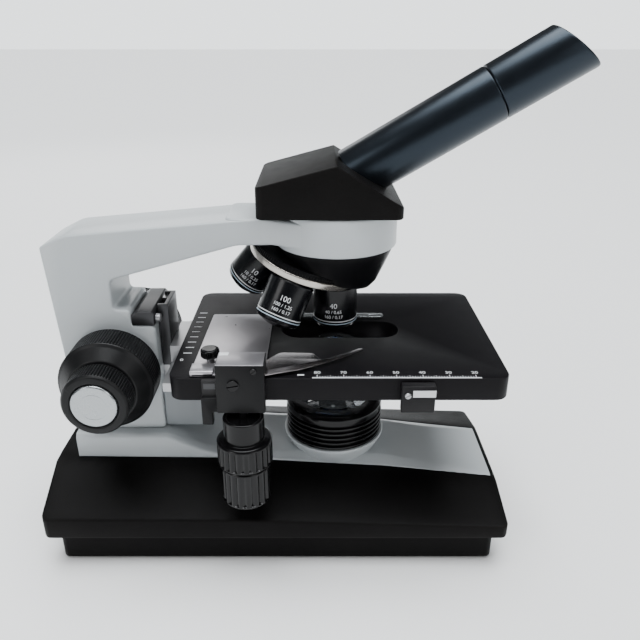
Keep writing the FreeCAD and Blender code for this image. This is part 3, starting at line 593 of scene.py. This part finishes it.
def arm():
    """The column and beam in one plate, the neck that widens from it, and the head's ring."""
    outline = [(-148.7, 65.55), (-152, 123.5), (-155, 174), (-155, 176), (-142, 182.4),
               (-57, 190), (-36, 191.4), (-8, 191.4), (-8, 177.5), (-52, 177),
               (-120.6, 157.7), (-120.6, 140.6), (-111.55, 140.6), (-111.55, 131.45),
               (-99, 131.45), (-99, 65.55)]
    plate = prism("arm_plate", soften(outline, 3, 5), -ARM_HALF, ARM_HALF, "Y", 2.2, steps=4)
    neck = prism("arm_neck", soften([
        (-58, -ARM_HALF + 0.5), (-38, -ARM_HALF + 0.5), (-16, -28.5), (0, -30), (0, 30),
        (-16, 28.5), (-38, ARM_HALF - 0.5), (-58, ARM_HALF - 0.5)], 6, 5),
        177.6, 191.2, "Z", 1.6, steps=4)
    ring = lathe("arm_ring", [
        (RING_BORE, RING_LOW), (RING_RADIUS, RING_LOW), (RING_RADIUS, RING_TOP - 1),
        (RING_RADIUS - 0.75, RING_TOP), (RING_BORE, RING_TOP)], round_off=0.8, segments=128)
    for part in (plate, neck, ring):
        paint(part, "enamel")
    return joined("arm_shell", [plate, neck, ring])


place_piece(arm(), "base", None, "arm_enamel", "arm_casting")
# The box in front of the column takes the darker enamel: painted shade under the stage.
x0, x1, y0, y1, z0, z1 = corners("arm_front_box")
place_piece(block("column_front_box", (x0, x1), (y0, y1), (z0, z1), 1.4, steps=4), "base",
            "painted_shade_grey_enamel", "arm_enamel", "arm_front_box")
x0, x1, y0, y1, z0, z1 = corners("stop_block")
place_piece(prism("focus_stop_block", [
    (x0, z0), (x1, z0), (x1, z1 - 1.2), (x1 - 1.3, z1), (x0 + 3, z1), (x0, z1 - 2)],
    y0, y1, "Y", 0.5), "base", "dark_steel", "black_enamel", "stop_block")
x0, x1, y0, y1, z0, z1 = corners("stop_pin")
pin = [(0, 0), (1.5, 0), (1.5, x1 - x0 - 2.8), (2.4, x1 - x0 - 2.8), (2.4, x1 - x0 - 0.4),
       (1.9, x1 - x0), (0, x1 - x0)]
place_piece(lathe("stop_lever", pin, frame_along((x0, (y0 + y1) / 2, (z0 + z1) / 2), (1, 0, 0),
                                                 (0, 0, 1)), 48, 0.2),
            "stop_lever", "steel", "bright_steel", "stop_pin")

# ---------------------------------------------------------------- focus knobs

FOCUS = Vector(JOINTS["coarse_focus"]["pos_m"]) / MM
COARSE_RADIUS, COARSE_BORE = 25.4, 5.05
FINE_RADIUS, FINE_BORE = 17.4, 3.02
CAP_RADIUS = 11.9


def knob_pair(name, node, build):
    """Two mirrored knobs on the focus axis, drawn from their inner end outwards."""
    half = box(node)[1].y
    parts = []
    for direction in (-1, 1):
        place = frame_along((FOCUS.x, 0, FOCUS.z), (0, direction, 0))
        parts.append(build(place, half, direction))
    return joined(name, parts)


def coarse_knob(place, outer, direction):
    """A ribbed rim with a face that tapers to the fine knob; the near knob is the longer."""
    inner = 19.1 if direction < 0 else 22.9
    profile = [(COARSE_BORE, inner), (COARSE_RADIUS - 5, inner), (COARSE_RADIUS - 4.1, inner + 0.3),
               (COARSE_RADIUS, inner + 4), (COARSE_RADIUS, outer - 7),
               (COARSE_RADIUS - 1.6, outer - 5.8), (FINE_RADIUS + 1.5, outer - 0.7),
               (FINE_RADIUS + 0.8, outer), (COARSE_BORE, outer)]
    return paint(lathe("coarse_part", profile, place, 96, 0.4,
                       (104, 0.5, inner + 4.4, outer - 7.3, COARSE_RADIUS - 0.4)), "knob_black")


def fine_knob(place, outer, _):
    """A finely ribbed knob with a recess for its cap."""
    inner = outer - 13.9
    profile = [(FINE_BORE, inner), (FINE_RADIUS - 0.7, inner), (FINE_RADIUS, inner + 0.8),
               (FINE_RADIUS, outer - 1.8), (FINE_RADIUS - 1.3, outer - 0.3), (13.2, outer),
               (CAP_RADIUS + 0.4, outer - 0.5), (CAP_RADIUS + 0.2, outer - 1.8),
               (FINE_BORE, outer - 1.9)]
    return paint(lathe("fine_part", profile, place, 96, 0.45,
                       (72, 0.6, inner + 1.2, outer - 1.6, FINE_RADIUS - 0.4)), "knob_black")


def knob_cap(place, outer, _):
    """A flat disc with a fine turned line."""
    inner = outer - 2.5
    profile = [(0, inner), (CAP_RADIUS - 0.05, inner), (CAP_RADIUS, outer - 0.7),
               (CAP_RADIUS - 0.7, outer), (7.4, outer), (7.1, outer - 0.12), (6.8, outer),
               (0, outer + 0.02)]
    return paint(lathe("cap_part", profile, place, 96, 0.25), "silver")


place_piece(knob_pair("coarse_knob_pair", "coarse_knobs", coarse_knob), "coarse_drive", None,
            "black_knob", "coarse_knobs")
place_piece(knob_pair("fine_knob_pair", "fine_knobs", fine_knob), "fine_drive", None,
            "black_knob", "fine_knobs")
place_piece(knob_pair("fine_cap_pair", "fine_knob_caps", knob_cap), "fine_drive", None,
            "satin_aluminium", "fine_knob_caps")
x0, x1, y0, y1, z0, z1 = corners("tension_ring")
place_piece(lathe("tension_collar", [(9.6, y0), (20, y0), (20, y1), (9.6, y1)],
                  frame_along((FOCUS.x, 0, FOCUS.z), (0, 1, 0)), 96, 0.4,
                  (60, 0.4, y0 + 0.6, y1 - 0.6, 19.7)), "tension_collar", "knob_black",
            "black_knob", "tension_ring")

# ---------------------------------------------------------------- stage

S_BACK, S_FRONT, S_NEAR, S_FAR, S_FLOOR, S_TOP = corners("stage_plate")


stage_slot = list(reversed(rounded_rect(-30.6, 36.8, -10.5, 12.4, 11.3, 12)))
place_piece(sheet_with_holes("stage_top", [
    rounded_rect(S_BACK, S_FRONT, S_NEAR, S_FAR, 7, 10), stage_slot], S_FLOOR, S_TOP, 0.5),
    "stage", "stage_black", "black_enamel", "stage_plate")


def flat_mark(name, x, y, width, length):
    """A thin printed bar on the stage: width along X and length along Y."""
    return paint(block(name, (x - width / 2, x + width / 2), (y - length / 2, y + length / 2),
                       (S_TOP - 0.02, S_TOP + 0.05), 0), "ink")


def near_scale():
    """The scale along the stage's near edge: a line, ticks and numbers."""
    first, last, count = -12.7, 72.0, 7
    pitch = (last - first - 5) / (count - 1)
    parts = [flat_mark("line", (first + last) / 2, S_NEAR + 1.3, last - first, 0.9)]
    for index in range(count):
        x = first + 2.5 + pitch * index
        parts.append(flat_mark("long_tick", x, S_NEAR + 3.0, 0.35, 2.4))
        place = Matrix.Translation((x, S_NEAR + 6.6, S_TOP))
        parts.append(paint(lettering("digits", str(80 - 10 * index), 2.5, place), "ink"))
        if index < count - 1:
            for minor in range(1, 10):
                tick = 1.9 if minor == 5 else 1.2
                parts.append(flat_mark("tick", x + pitch * minor / 10, S_NEAR + 1.9 + tick / 2,
                                       0.2, tick))
    parts.append(flat_mark("index", -18.5, S_NEAR + 4.2, 3.4, 1.3))
    return joined("stage_scale_near", parts)


def left_scale():
    """The marks along the stage's left edge, read against the slide holder."""
    parts = [flat_mark("tick", -79.8, -30 + 6.8 * index, 4.6, 0.7) for index in range(9)]
    place = Matrix.Translation((-81.5, -38, S_TOP))
    parts.append(paint(lettering("digits", "0", 2.6, place), "ink"))
    return joined("stage_scale_left", parts)


place_piece(near_scale(), "stage", None, "black_enamel")
place_piece(left_scale(), "stage", None, "black_enamel")
x0, x1, y0, y1, z0, z1 = corners("stage_vernier")
place_piece(block("vernier_block", (x0, x1), (y0, y1), (z0, z1), 0.6), "stage", "stage_black",
            "black_enamel", "stage_vernier")
plate = block("vernier_plate", (x0 + 5.5, x1 + 0.1), (y0 - 0.1, y0 + 0.2), (z1 - 6.0, z1 - 2.2),
              0.08)
place_piece(plate, "stage", "ink", "black_enamel")


def screw_head(name, radius, height, place, look="steel"):
    """A slotted cheese head, with its slot as a real groove."""
    bm = bmesh.new()
    segments = 40
    slot_half = radius * 0.14
    rings = []
    for r, z in ((radius, 0), (radius, height * 0.8), (radius * 0.93, height)):
        rings.append([bm.verts.new((r * math.cos(2 * math.pi * k / segments),
                                    r * math.sin(2 * math.pi * k / segments), z))
                      for k in range(segments)])
    for first, second in zip(rings, rings[1:]):
        for k in range(segments):
            m = (k + 1) % segments
            bm.faces.new((first[k], first[m], second[m], second[k]))
    bm.faces.new(rings[0])
    bm.faces.new(rings[-1])
    for offset in (-slot_half, slot_half):
        bmesh.ops.bisect_plane(bm, geom=bm.verts[:] + bm.edges[:] + bm.faces[:],
                               plane_co=(0, offset, 0), plane_no=(0, 1, 0))
    bm.faces.ensure_lookup_table()
    strip = [f for f in bm.faces if abs(f.normal.z) > 0.9
             and f.calc_center_median().z > height * 0.9
             and abs(f.calc_center_median().y) < slot_half]
    pushed = bmesh.ops.extrude_face_region(bm, geom=strip)
    moved = [v for v in pushed["geom"] if isinstance(v, bmesh.types.BMVert)]
    bmesh.ops.translate(bm, vec=(0, 0, -height * 0.45), verts=moved)
    bmesh.ops.delete(bm, geom=strip, context="FACES")
    return paint(finish_mesh(name, bm, place, 30), look)


place_piece(screw_head("vernier_screw", 1.6, 0.8,
                       frame_along((x0 + 3, y0 + 0.05, z1 - 5), (0, -1, 0), (1, 0, 0.5))),
            "stage", None, "bright_steel")

# ---------------------------------------------------------------- slide holder

x0, x1, y0, y1, z0, z1 = corners("carriage_block")
# The block hangs in front of the stage's edge, and its head reaches over the stage.
HANG_FAR, HANG_FLOOR, HEAD_FLOOR = -58.85, 104.5, 123.05
main_part = prism("carriage_main", [
    (y0, HANG_FLOOR), (HANG_FAR, HANG_FLOOR), (HANG_FAR, HEAD_FLOOR), (-49.4, HEAD_FLOOR),
    (-49.4, z1), (y0, z1)], -60, -36, "X", 0.5)
side_part = prism("carriage_side", [
    (x0, z0), (-62.5, z0), (-62.5, HANG_FLOOR), (-59.5, HANG_FLOOR), (-59.5, 112.5),
    (x0, 112.5)], y0 + 1, HANG_FAR, "Y", 0.5)
for part in (main_part, side_part):
    paint(part, "black_enamel")
place_piece(joined("holder_carriage", [main_part, side_part]), "x_carriage", None,
            "black_enamel", "carriage_block")
top_plate = block("carriage_top_plate", (-59.6, -36.4), (y0 + 0.4, -49.8), (z1 - 0.02, z1 + 0.25),
                  0.1)
place_piece(top_plate, "x_carriage", "plate", "satin_steel")
place_piece(block("x_vernier_mark", (-66.6, -60.9), (-61.44, -61.3), (116.5, 119.6), 0),
            "x_carriage", "dark_steel", "black_enamel")
# A small white patch on the carriage's top edge: a painted highlight.
painted_highlight_patch = block("carriage_painted_highlight", (-59.2, -54.6), (-53.6, -50.2), (z1 + 0.2, z1 + 0.3), 0)
place_piece(painted_highlight_patch, "x_carriage", "ink", "black_enamel")
place_piece(screw_head("carriage_screw_large", 3.1, 1.2,
                       frame_along((-51.5, y0 + 0.1, 120.4), (0, -1, 0), (1, 0, 0.2)),
                       "gloss_black"), "x_carriage", None, "gloss_black")
place_piece(screw_head("carriage_screw_small", 1.7, 0.9,
                       frame_along((-41.2, y0 + 0.1, 128.2), (0, -1, 0), (1, 0, 0.9)),
                       "gloss_black"), "x_carriage", None, "gloss_black")

H_LEFT, H_RIGHT, H_NEAR, H_FAR, H_FLOOR, H_TOP = corners("holder_plate")
HOLDER_THICK = 1.5
leaf = prism("holder_leaf", soften([
    (H_LEFT, H_NEAR), (H_RIGHT, H_NEAR), (H_RIGHT, H_FAR - 14), (H_RIGHT, H_FAR),
    (H_LEFT + 1.5, H_FAR)], 1.2, 3), H_FLOOR, H_FLOOR + HOLDER_THICK, "Z", 0.25)
tab = block("holder_tab", (H_LEFT, H_LEFT + 12), (H_NEAR, H_NEAR + 9), (H_FLOOR, H_TOP), 0.5)
for part in (leaf, tab):
    paint(part, "plate")
place_piece(joined("holder_leaf_plate", [leaf, tab]), "slide_holder", None, "satin_steel",
            "holder_plate")
x0, x1, y0, y1, z0, z1 = corners("fixed_finger")
place_piece(sheet_with_holes("far_finger", [
    soften([(x0, y0), (x1, y0), (x1, y1), (x0, y1)], 2.4, 5),
    list(reversed(rounded_rect(x1 - 9, x1 - 3.5, (y0 + y1) / 2 - 0.5, (y0 + y1) / 2 + 0.5,
                               0.45, 3)))], z0, z1, 0.2),
    "slide_holder", "silver", "satin_steel", "fixed_finger")
x0, x1, y0, y1, z0, z1 = corners("spring_finger")


def blade():
    """The curved finger: a thin leaf that widens over the stage and narrows to a point."""
    outline = [(-46.6, -56.4), (-45, -58), (-36.5, -58.6), (-18.9, -52.7), (-3.6, -44),
               (4.9, -38.4), (14.4, -30.5), (14.4, -29.5), (13, -28.5), (5, -34), (-8, -42.5),
               (-12, -34.5), (-30, -33.7), (-36, -42), (-46.6, -52.6)]
    return prism("curved_finger", soften(outline, 2.2, 4), z0, z1, "Z", 0.1, steps=2)


place_piece(blade(), "finger", "leaf", "satin_steel", "spring_finger")
x0, x1, y0, y1, z0, z1 = corners("holder_thumbscrew")
place_piece(lathe("holder_knurled_screw", [
    (0, z0), (4.5, z0), (4.9, z0 + 0.5), (4.9, z1 - 0.9), (4.3, z1 - 0.2), (3.2, z1),
    (0, z1 - 0.15)], Matrix.Translation(((x0 + x1) / 2, (y0 + y1) / 2, 0)), 64, 0.2,
    (30, 0.35, z0 + 0.7, z1 - 1.0, 4.75)), "holder_screw", "gloss_black", "gloss_black",
    "holder_thumbscrew")

# ---------------------------------------------------------------- drop-down knobs

DRIVE_X, DRIVE_Y, _ = Vector(JOINTS["x_drive_turn"]["pos_m"]) / MM
DRIVE = Matrix.Translation((DRIVE_X, DRIVE_Y, 0))
X_RADIUS, X_SHOULDER, SPINDLE = 12.8, 74, 2
_, _, _, _, z0, z1 = corners("x_drive_knob")
lower = lathe("x_knob", [
    (0, z0 + 1), (X_RADIUS - 5, z0 + 1), (X_RADIUS - 4, z0), (X_RADIUS - 1, z0),
    (X_RADIUS, z0 + 1), (X_RADIUS, X_SHOULDER - 1), (X_RADIUS - 1, X_SHOULDER),
    (SPINDLE, X_SHOULDER), (SPINDLE, z1), (0, z1)], DRIVE, 96, 0.35,
    (18, 1.0, z0 + 1.8, X_SHOULDER - 1.8, X_RADIUS - 0.4))
place_piece(lower, "x_drive", "gloss_black", "gloss_black", "x_drive_knob")
Y_RADIUS, Y_NECK, Y_SHOULDER = 14.3, 10.5, 89
_, _, _, _, z0, z1 = corners("y_drive_knob")
upper = lathe("y_knob", [
    (SPINDLE + 0.06, z0), (Y_RADIUS - 1, z0), (Y_RADIUS, z0 + 1), (Y_RADIUS, Y_SHOULDER - 1),
    (Y_RADIUS - 1, Y_SHOULDER), (Y_NECK, Y_SHOULDER), (Y_NECK, z1 - 0.5), (Y_NECK - 0.4, z1),
    (Y_NECK - 1.6, z1), (Y_NECK - 2.2, z1 - 0.9), (SPINDLE + 0.06, z1 - 0.9)], DRIVE, 96, 0.3,
    (22, 0.9, z0 + 1.6, Y_SHOULDER - 1.6, Y_RADIUS - 0.5))
place_piece(upper, "y_drive", "gloss_black", "gloss_black", "y_drive_knob")

# ---------------------------------------------------------------- collector

_, _, _, _, C_FLOOR, C_TOP = corners("collector_housing")
C_RADIUS, C_BORE, C_PITCH, C_GROOVE = 28.7, 19.05, 3.05, 1.6
ribs = [(C_BORE, C_FLOOR), (C_RADIUS, C_FLOOR)]
for rib in range(5):
    start = C_FLOOR + 1.6 + C_PITCH * rib
    ribs += [(C_RADIUS, start), (C_RADIUS - C_GROOVE, start + 0.5),
             (C_RADIUS - C_GROOVE, start + 1.3), (C_RADIUS, start + 1.8)]
ribs += [(C_RADIUS, C_TOP - 2), (C_RADIUS - 2, C_TOP), (20.4, C_TOP), (19.8, C_TOP - 2.6),
         (C_BORE, C_TOP - 3)]
place_piece(lathe("light_collector", ribs, None, 128, 0.3), "base", "gloss_black", "gloss_black",
            "collector_housing")

# ---------------------------------------------------------------- nosepiece

TURRET = JOINTS["turret_turn"]
TURRET_AXIS = Vector(TURRET["axis"])
TURRET_CENTRE = Vector(TURRET["pos_m"]) / MM
NOSE_CIRCLE = 20.5
TURRET_PLACE = frame_along(TURRET_CENTRE, TURRET_AXIS, -TURRET_CENTRE.to_2d().to_3d())
TILT = TURRET_AXIS.angle(Vector((0, 0, 1)))


def hole_place(index):
    """The frame of an objective: Z up its barrel, the shoulder at 0."""
    spin = Matrix.Rotation(-math.pi / 2 * index, 4, "Z")
    lean = Matrix.Rotation(-TILT, 4, "Y")
    return TURRET_PLACE @ spin @ Matrix.Translation((NOSE_CIRCLE, 0, 0)) @ lean


DISC_RADIUS, DISC_BORE, DISC_TOP = 30.0, 4.05, 10.5
RING_OUT = DISC_RADIUS + 1.3
turret_disc = lathe("turret_disc", [
    (DISC_BORE, -6), (DISC_RADIUS - 1.2, 3), (DISC_RADIUS - 0.1, 3.8), (DISC_RADIUS, 7.2),
    (DISC_RADIUS, 8.9), (DISC_RADIUS - 1, DISC_TOP), (DISC_BORE, DISC_TOP)],
    TURRET_PLACE, 96, 0.3, (120, 0.45, 7.6, 9.6, DISC_RADIUS - 0.5))
place_piece(turret_disc, "turret", "black_enamel", "black_enamel", "nosepiece_turret")
place_piece(lathe("turret_chrome_ring", [
    (DISC_RADIUS - 0.02, 3.9), (RING_OUT - 0.4, 3.6), (RING_OUT, 4.1), (RING_OUT, 6.9),
    (RING_OUT - 0.4, 7.4), (DISC_RADIUS - 0.02, 7.4)],
    TURRET_PLACE, 160, 0.15), "turret", "chrome", "chrome", "turret_ring")

# Node, length below the shoulder, radius of the front, power and aperture.
OBJECTIVES = (("objective_40", 26.0, 5.0, "40", "0.65"),
              ("objective_100", 26.0, 4.0, "100", "1.25"),
              ("objective_10", 24.5, 6.5, "10", "0.25"),
              ("objective_4", 20.5, 8.0, "4", "0.10"))
BARREL, THREAD, LENS_BORE = 12.35, 10.1, 3.42


def around(name, text, height, radius, level, place):
    """Characters wrapped round a barrel, on the side that faces away from the far side."""
    mesh = text_mesh(name, text, height, 0.04)
    facing = place.to_3x3().inverted() @ Vector((-0.1, -1, 0))
    middle = math.atan2(facing.y, facing.x)
    for vertex in mesh.vertices:
        angle, reach = middle + vertex.co.x / radius, radius + vertex.co.z
        spot = Vector((reach * math.cos(angle), reach * math.sin(angle), level + vertex.co.y))
        vertex.co = (place @ spot) * MM
    return paint(linked(name, mesh), "ink")


def objective(place, node, length, nose, power, aperture):
    """A barrel with its screw thread's neck, two coloured bands and its engraving."""
    body = paint(lathe("body", [
        (LENS_BORE, 5.4), (THREAD, 5.4), (THREAD, -0.3), (BARREL - 0.7, -0.3), (BARREL, -1.0),
        (BARREL, -length + 5.2), (BARREL - 1.0, -length + 2.6), (nose + 0.6, -length),
        (LENS_BORE, -length)], place, 96, 0.4), "lens_black")
    low = -length + 6.4
    parts = [body]
    for height, width, look in ((low, 0.55, "ink"), (low - 1.5, 0.5, "blue_ink")):
        parts.append(paint(lathe("band", [
            (BARREL - 0.1, height), (BARREL + 0.05, height), (BARREL + 0.05, height + width),
            (BARREL - 0.1, height + width)], place, 96, 0), look))
    for text, height, level in ((power, 3.0, low + 9.6),
                                (power + " / " + aperture, 1.9, low + 6.0),
                                ("160 / 0.17", 1.9, low + 3.0)):
        parts.append(around("digits", text, height, BARREL + 0.01, level, place))
    return joined(node + "_barrel", parts)


for index, row in enumerate(OBJECTIVES):
    place_piece(objective(hole_place(index), *row), "turret", None, "objective_black", row[0])

# ---------------------------------------------------------------- head, tube and eyepiece

HEAD_BACK, HEAD_FRONT, HEAD_NEAR, HEAD_FAR, HEAD_LOW, HEAD_APEX = corners("head_housing")


def wedge():
    """The prism box: a wedge with rounded upright corners and softened edges."""
    bm = bmesh.new()
    front_top, back_top, apex_x = 200.2, 210, -1
    outline = [(HEAD_BACK, HEAD_LOW), (HEAD_FRONT, HEAD_LOW), (HEAD_FRONT, front_top),
               (apex_x, HEAD_APEX), (HEAD_BACK, back_top)]
    sides = [[bm.verts.new((x, y, z)) for x, z in outline] for y in (HEAD_NEAR, HEAD_FAR)]
    count = len(outline)
    for index in range(count):
        following = (index + 1) % count
        bm.faces.new((sides[0][index], sides[0][following], sides[1][following],
                      sides[1][index]))
    bm.faces.new(sides[0])
    bm.faces.new(sides[1])
    bmesh.ops.recalc_face_normals(bm, faces=bm.faces)
    upright = [e for e in bm.edges if abs(e.verts[0].co.x - e.verts[1].co.x) < 0.01
               and abs(e.verts[0].co.y - e.verts[1].co.y) < 0.01]
    bmesh.ops.bevel(bm, geom=upright, offset=4, segments=8, profile=0.5, affect="EDGES")
    return finish_mesh("head_box", bm, None, 35, 0.6, 4)


place_piece(wedge(), "head", "crackle", "black_casting", "head_housing")

TUBE_AXIS = Vector(JOINTS["eyepiece_lift"]["axis"])
TUBE_PLACE = frame_along((15.4, 0, 214), TUBE_AXIS, (0, 1, 0))
TUBE_RADIUS, TUBE_END, SLEEVE_RADIUS, EYE_BORE = 14.3, 73.0, 11.6, 9.0
GUARD_START, GUARD_END, GUARD_SLANT = 99.5, 116, 6
place_piece(lathe("tube_body", [
    (EYE_BORE, -8.9), (TUBE_RADIUS, -8.9), (TUBE_RADIUS, TUBE_END - 0.6),
    (TUBE_RADIUS - 0.4, TUBE_END), (SLEEVE_RADIUS + 0.1, TUBE_END), (SLEEVE_RADIUS + 0.1, 6),
    (EYE_BORE, 6)], TUBE_PLACE, 128, 0.3), "head", "tube_black", "black_satin", "viewing_tube")


def eyepiece_shell():
    """The eyepiece's sleeve and its slanted eye guard, which is longest on the underside."""
    thing = lathe("eyepiece_shell", [
        (EYE_BORE, 47.2), (SLEEVE_RADIUS, 47.2), (SLEEVE_RADIUS, TUBE_END + 0.12),
        (TUBE_RADIUS - 0.5, TUBE_END + 0.12), (TUBE_RADIUS, TUBE_END + 0.7),
        (TUBE_RADIUS, GUARD_START - 0.5), (TUBE_RADIUS, GUARD_END - 0.8),
        (TUBE_RADIUS - 0.4, GUARD_END), (TUBE_RADIUS - 1.6, GUARD_END),
        (TUBE_RADIUS - 2, GUARD_END - 0.6), (TUBE_RADIUS - 2, 104), (EYE_BORE, 103)],
        None, 128, 0.3)
    for vertex in thing.data.vertices:
        spot = vertex.co / MM
        if spot.z > GUARD_START:
            share = (spot.z - GUARD_START) / (GUARD_END - GUARD_START)
            spot.z -= share * GUARD_SLANT * spot.y / TUBE_RADIUS
        vertex.co = (TUBE_PLACE @ spot) * MM
    return thing


place_piece(eyepiece_shell(), "eyepiece", "tube_black", "black_satin", "eyepiece_barrel")
x0, x1, y0, y1, z0, z1 = corners("head_clamp_screw")
CLAMP_SHOULDER = 34.2
place_piece(lathe("head_clamp_knob", [
    (0, y0), (3.0, y0), (3.0, CLAMP_SHOULDER), (6.1, CLAMP_SHOULDER),
    (6.5, CLAMP_SHOULDER + 0.6), (6.5, y1 - 0.8), (5.8, y1), (0, y1)],
    frame_along((0, 0, (z0 + z1) / 2), (0, 1, 0)), 64, 0.25,
    (26, 0.5, CLAMP_SHOULDER + 1, y1 - 1.1, 6.3)),
    "head_clamp", "knob_black", "black_knob", "head_clamp_screw")

# ---------------------------------------------------------------- focusing slide

x0, x1, y0, y1, z0, z1 = corners("focus_carriage")
SLIDE_FLOOR, SLIDE_SIDE = -95.1, 8.7
place_piece(prism("focus_slide_block", [
    (x0, y0), (x1, y0), (x1, y1), (x0, y1), (x0, SLIDE_SIDE), (SLIDE_FLOOR, SLIDE_SIDE),
    (SLIDE_FLOOR, -SLIDE_SIDE), (x0, -SLIDE_SIDE)], z0, z1, "Z", 0.4),
    "coarse_slide", "dark_steel", "dark_steel", "focus_carriage")

# ---------------------------------------------------------------- studio

def floor():
    """The pale floor that the microscope stands on."""
    reach = 12.0
    mesh = bpy.data.meshes.new("floor")
    mesh.from_pydata([(-reach, -reach, 0), (reach, -reach, 0), (reach, reach, 0),
                      (-reach, reach, 0)], [], [(0, 1, 2, 3)])
    look = bpy.data.materials.new("studio_floor")
    look.use_nodes = True
    shader = look.node_tree.nodes["Principled BSDF"]
    shader.inputs["Base Color"].default_value = (0.95, 0.95, 0.95, 1)
    shader.inputs["Roughness"].default_value = 0.9
    mesh.materials.append(look)
    linked("floor", mesh)


def room():
    """A white backdrop behind the object, low down, and a dim room everywhere else."""
    world = bpy.data.worlds.new("studio")
    world.use_nodes = True
    nodes, links = world.node_tree.nodes, world.node_tree.links
    place = nodes.new("ShaderNodeTexCoord")
    direction = nodes.new("ShaderNodeSeparateXYZ")
    links.new(place.outputs["Generated"], direction.inputs["Vector"])

    def ramp(source, start, end, low=0.0, high=1.0):
        node = nodes.new("ShaderNodeMapRange")
        node.inputs["From Min"].default_value = start
        node.inputs["From Max"].default_value = end
        node.inputs["To Min"].default_value = low
        node.inputs["To Max"].default_value = high
        links.new(source, node.inputs["Value"])
        return node.outputs["Result"]

    both = nodes.new("ShaderNodeMath")
    both.operation = "MULTIPLY"
    links.new(ramp(direction.outputs["Y"], 0.1, 0.5), both.inputs[0])
    links.new(ramp(direction.outputs["Z"], 0.18, 0.07), both.inputs[1])
    sky = nodes["Background"]
    sky.inputs["Color"].default_value = (0.94, 0.98, 1, 1)
    links.new(ramp(both.outputs["Value"], 0, 1, 0.11, 2.2), sky.inputs["Strength"])
    bpy.context.scene.world = world


def lights():
    """Soft light from above and three small lamps that draw the highlights."""
    overhead = bpy.data.lights.new("overhead", "SUN")
    overhead.energy = 5.5
    overhead.angle = math.radians(50)
    overhead.color = (0.95, 0.98, 1.0)
    linked("overhead", overhead)
    for name, at, power in (("side", (-0.9, -0.8, 0.8), 4), ("front", (0.7, -0.9, 0.7), 3),
                            ("rear", (-0.5, 1.3, 0.8), 2.5)):
        light = bpy.data.lights.new(name, "AREA")
        light.size = 0.5
        light.energy = power
        lamp = linked(name, light)
        lamp.location = at
        aim = Vector((0, 0, 0.13)) - Vector(at)
        lamp.rotation_euler = aim.to_track_quat("-Z", "Y").to_euler()


def camera():
    """A view of the near side from slightly above."""
    looking_down = 23.9
    data = bpy.data.cameras.new("camera")
    data.lens = 36.56
    data.sensor_width = 36
    data.shift_x = 0.0046875
    data.clip_start = 0.01
    thing = linked("camera", data)
    thing.location = (-0.0103, -0.342, 0.2784)
    thing.rotation_euler = (math.radians(90 - looking_down), 0, 0)
    bpy.context.scene.camera = thing


floor()
room()
lights()
camera()
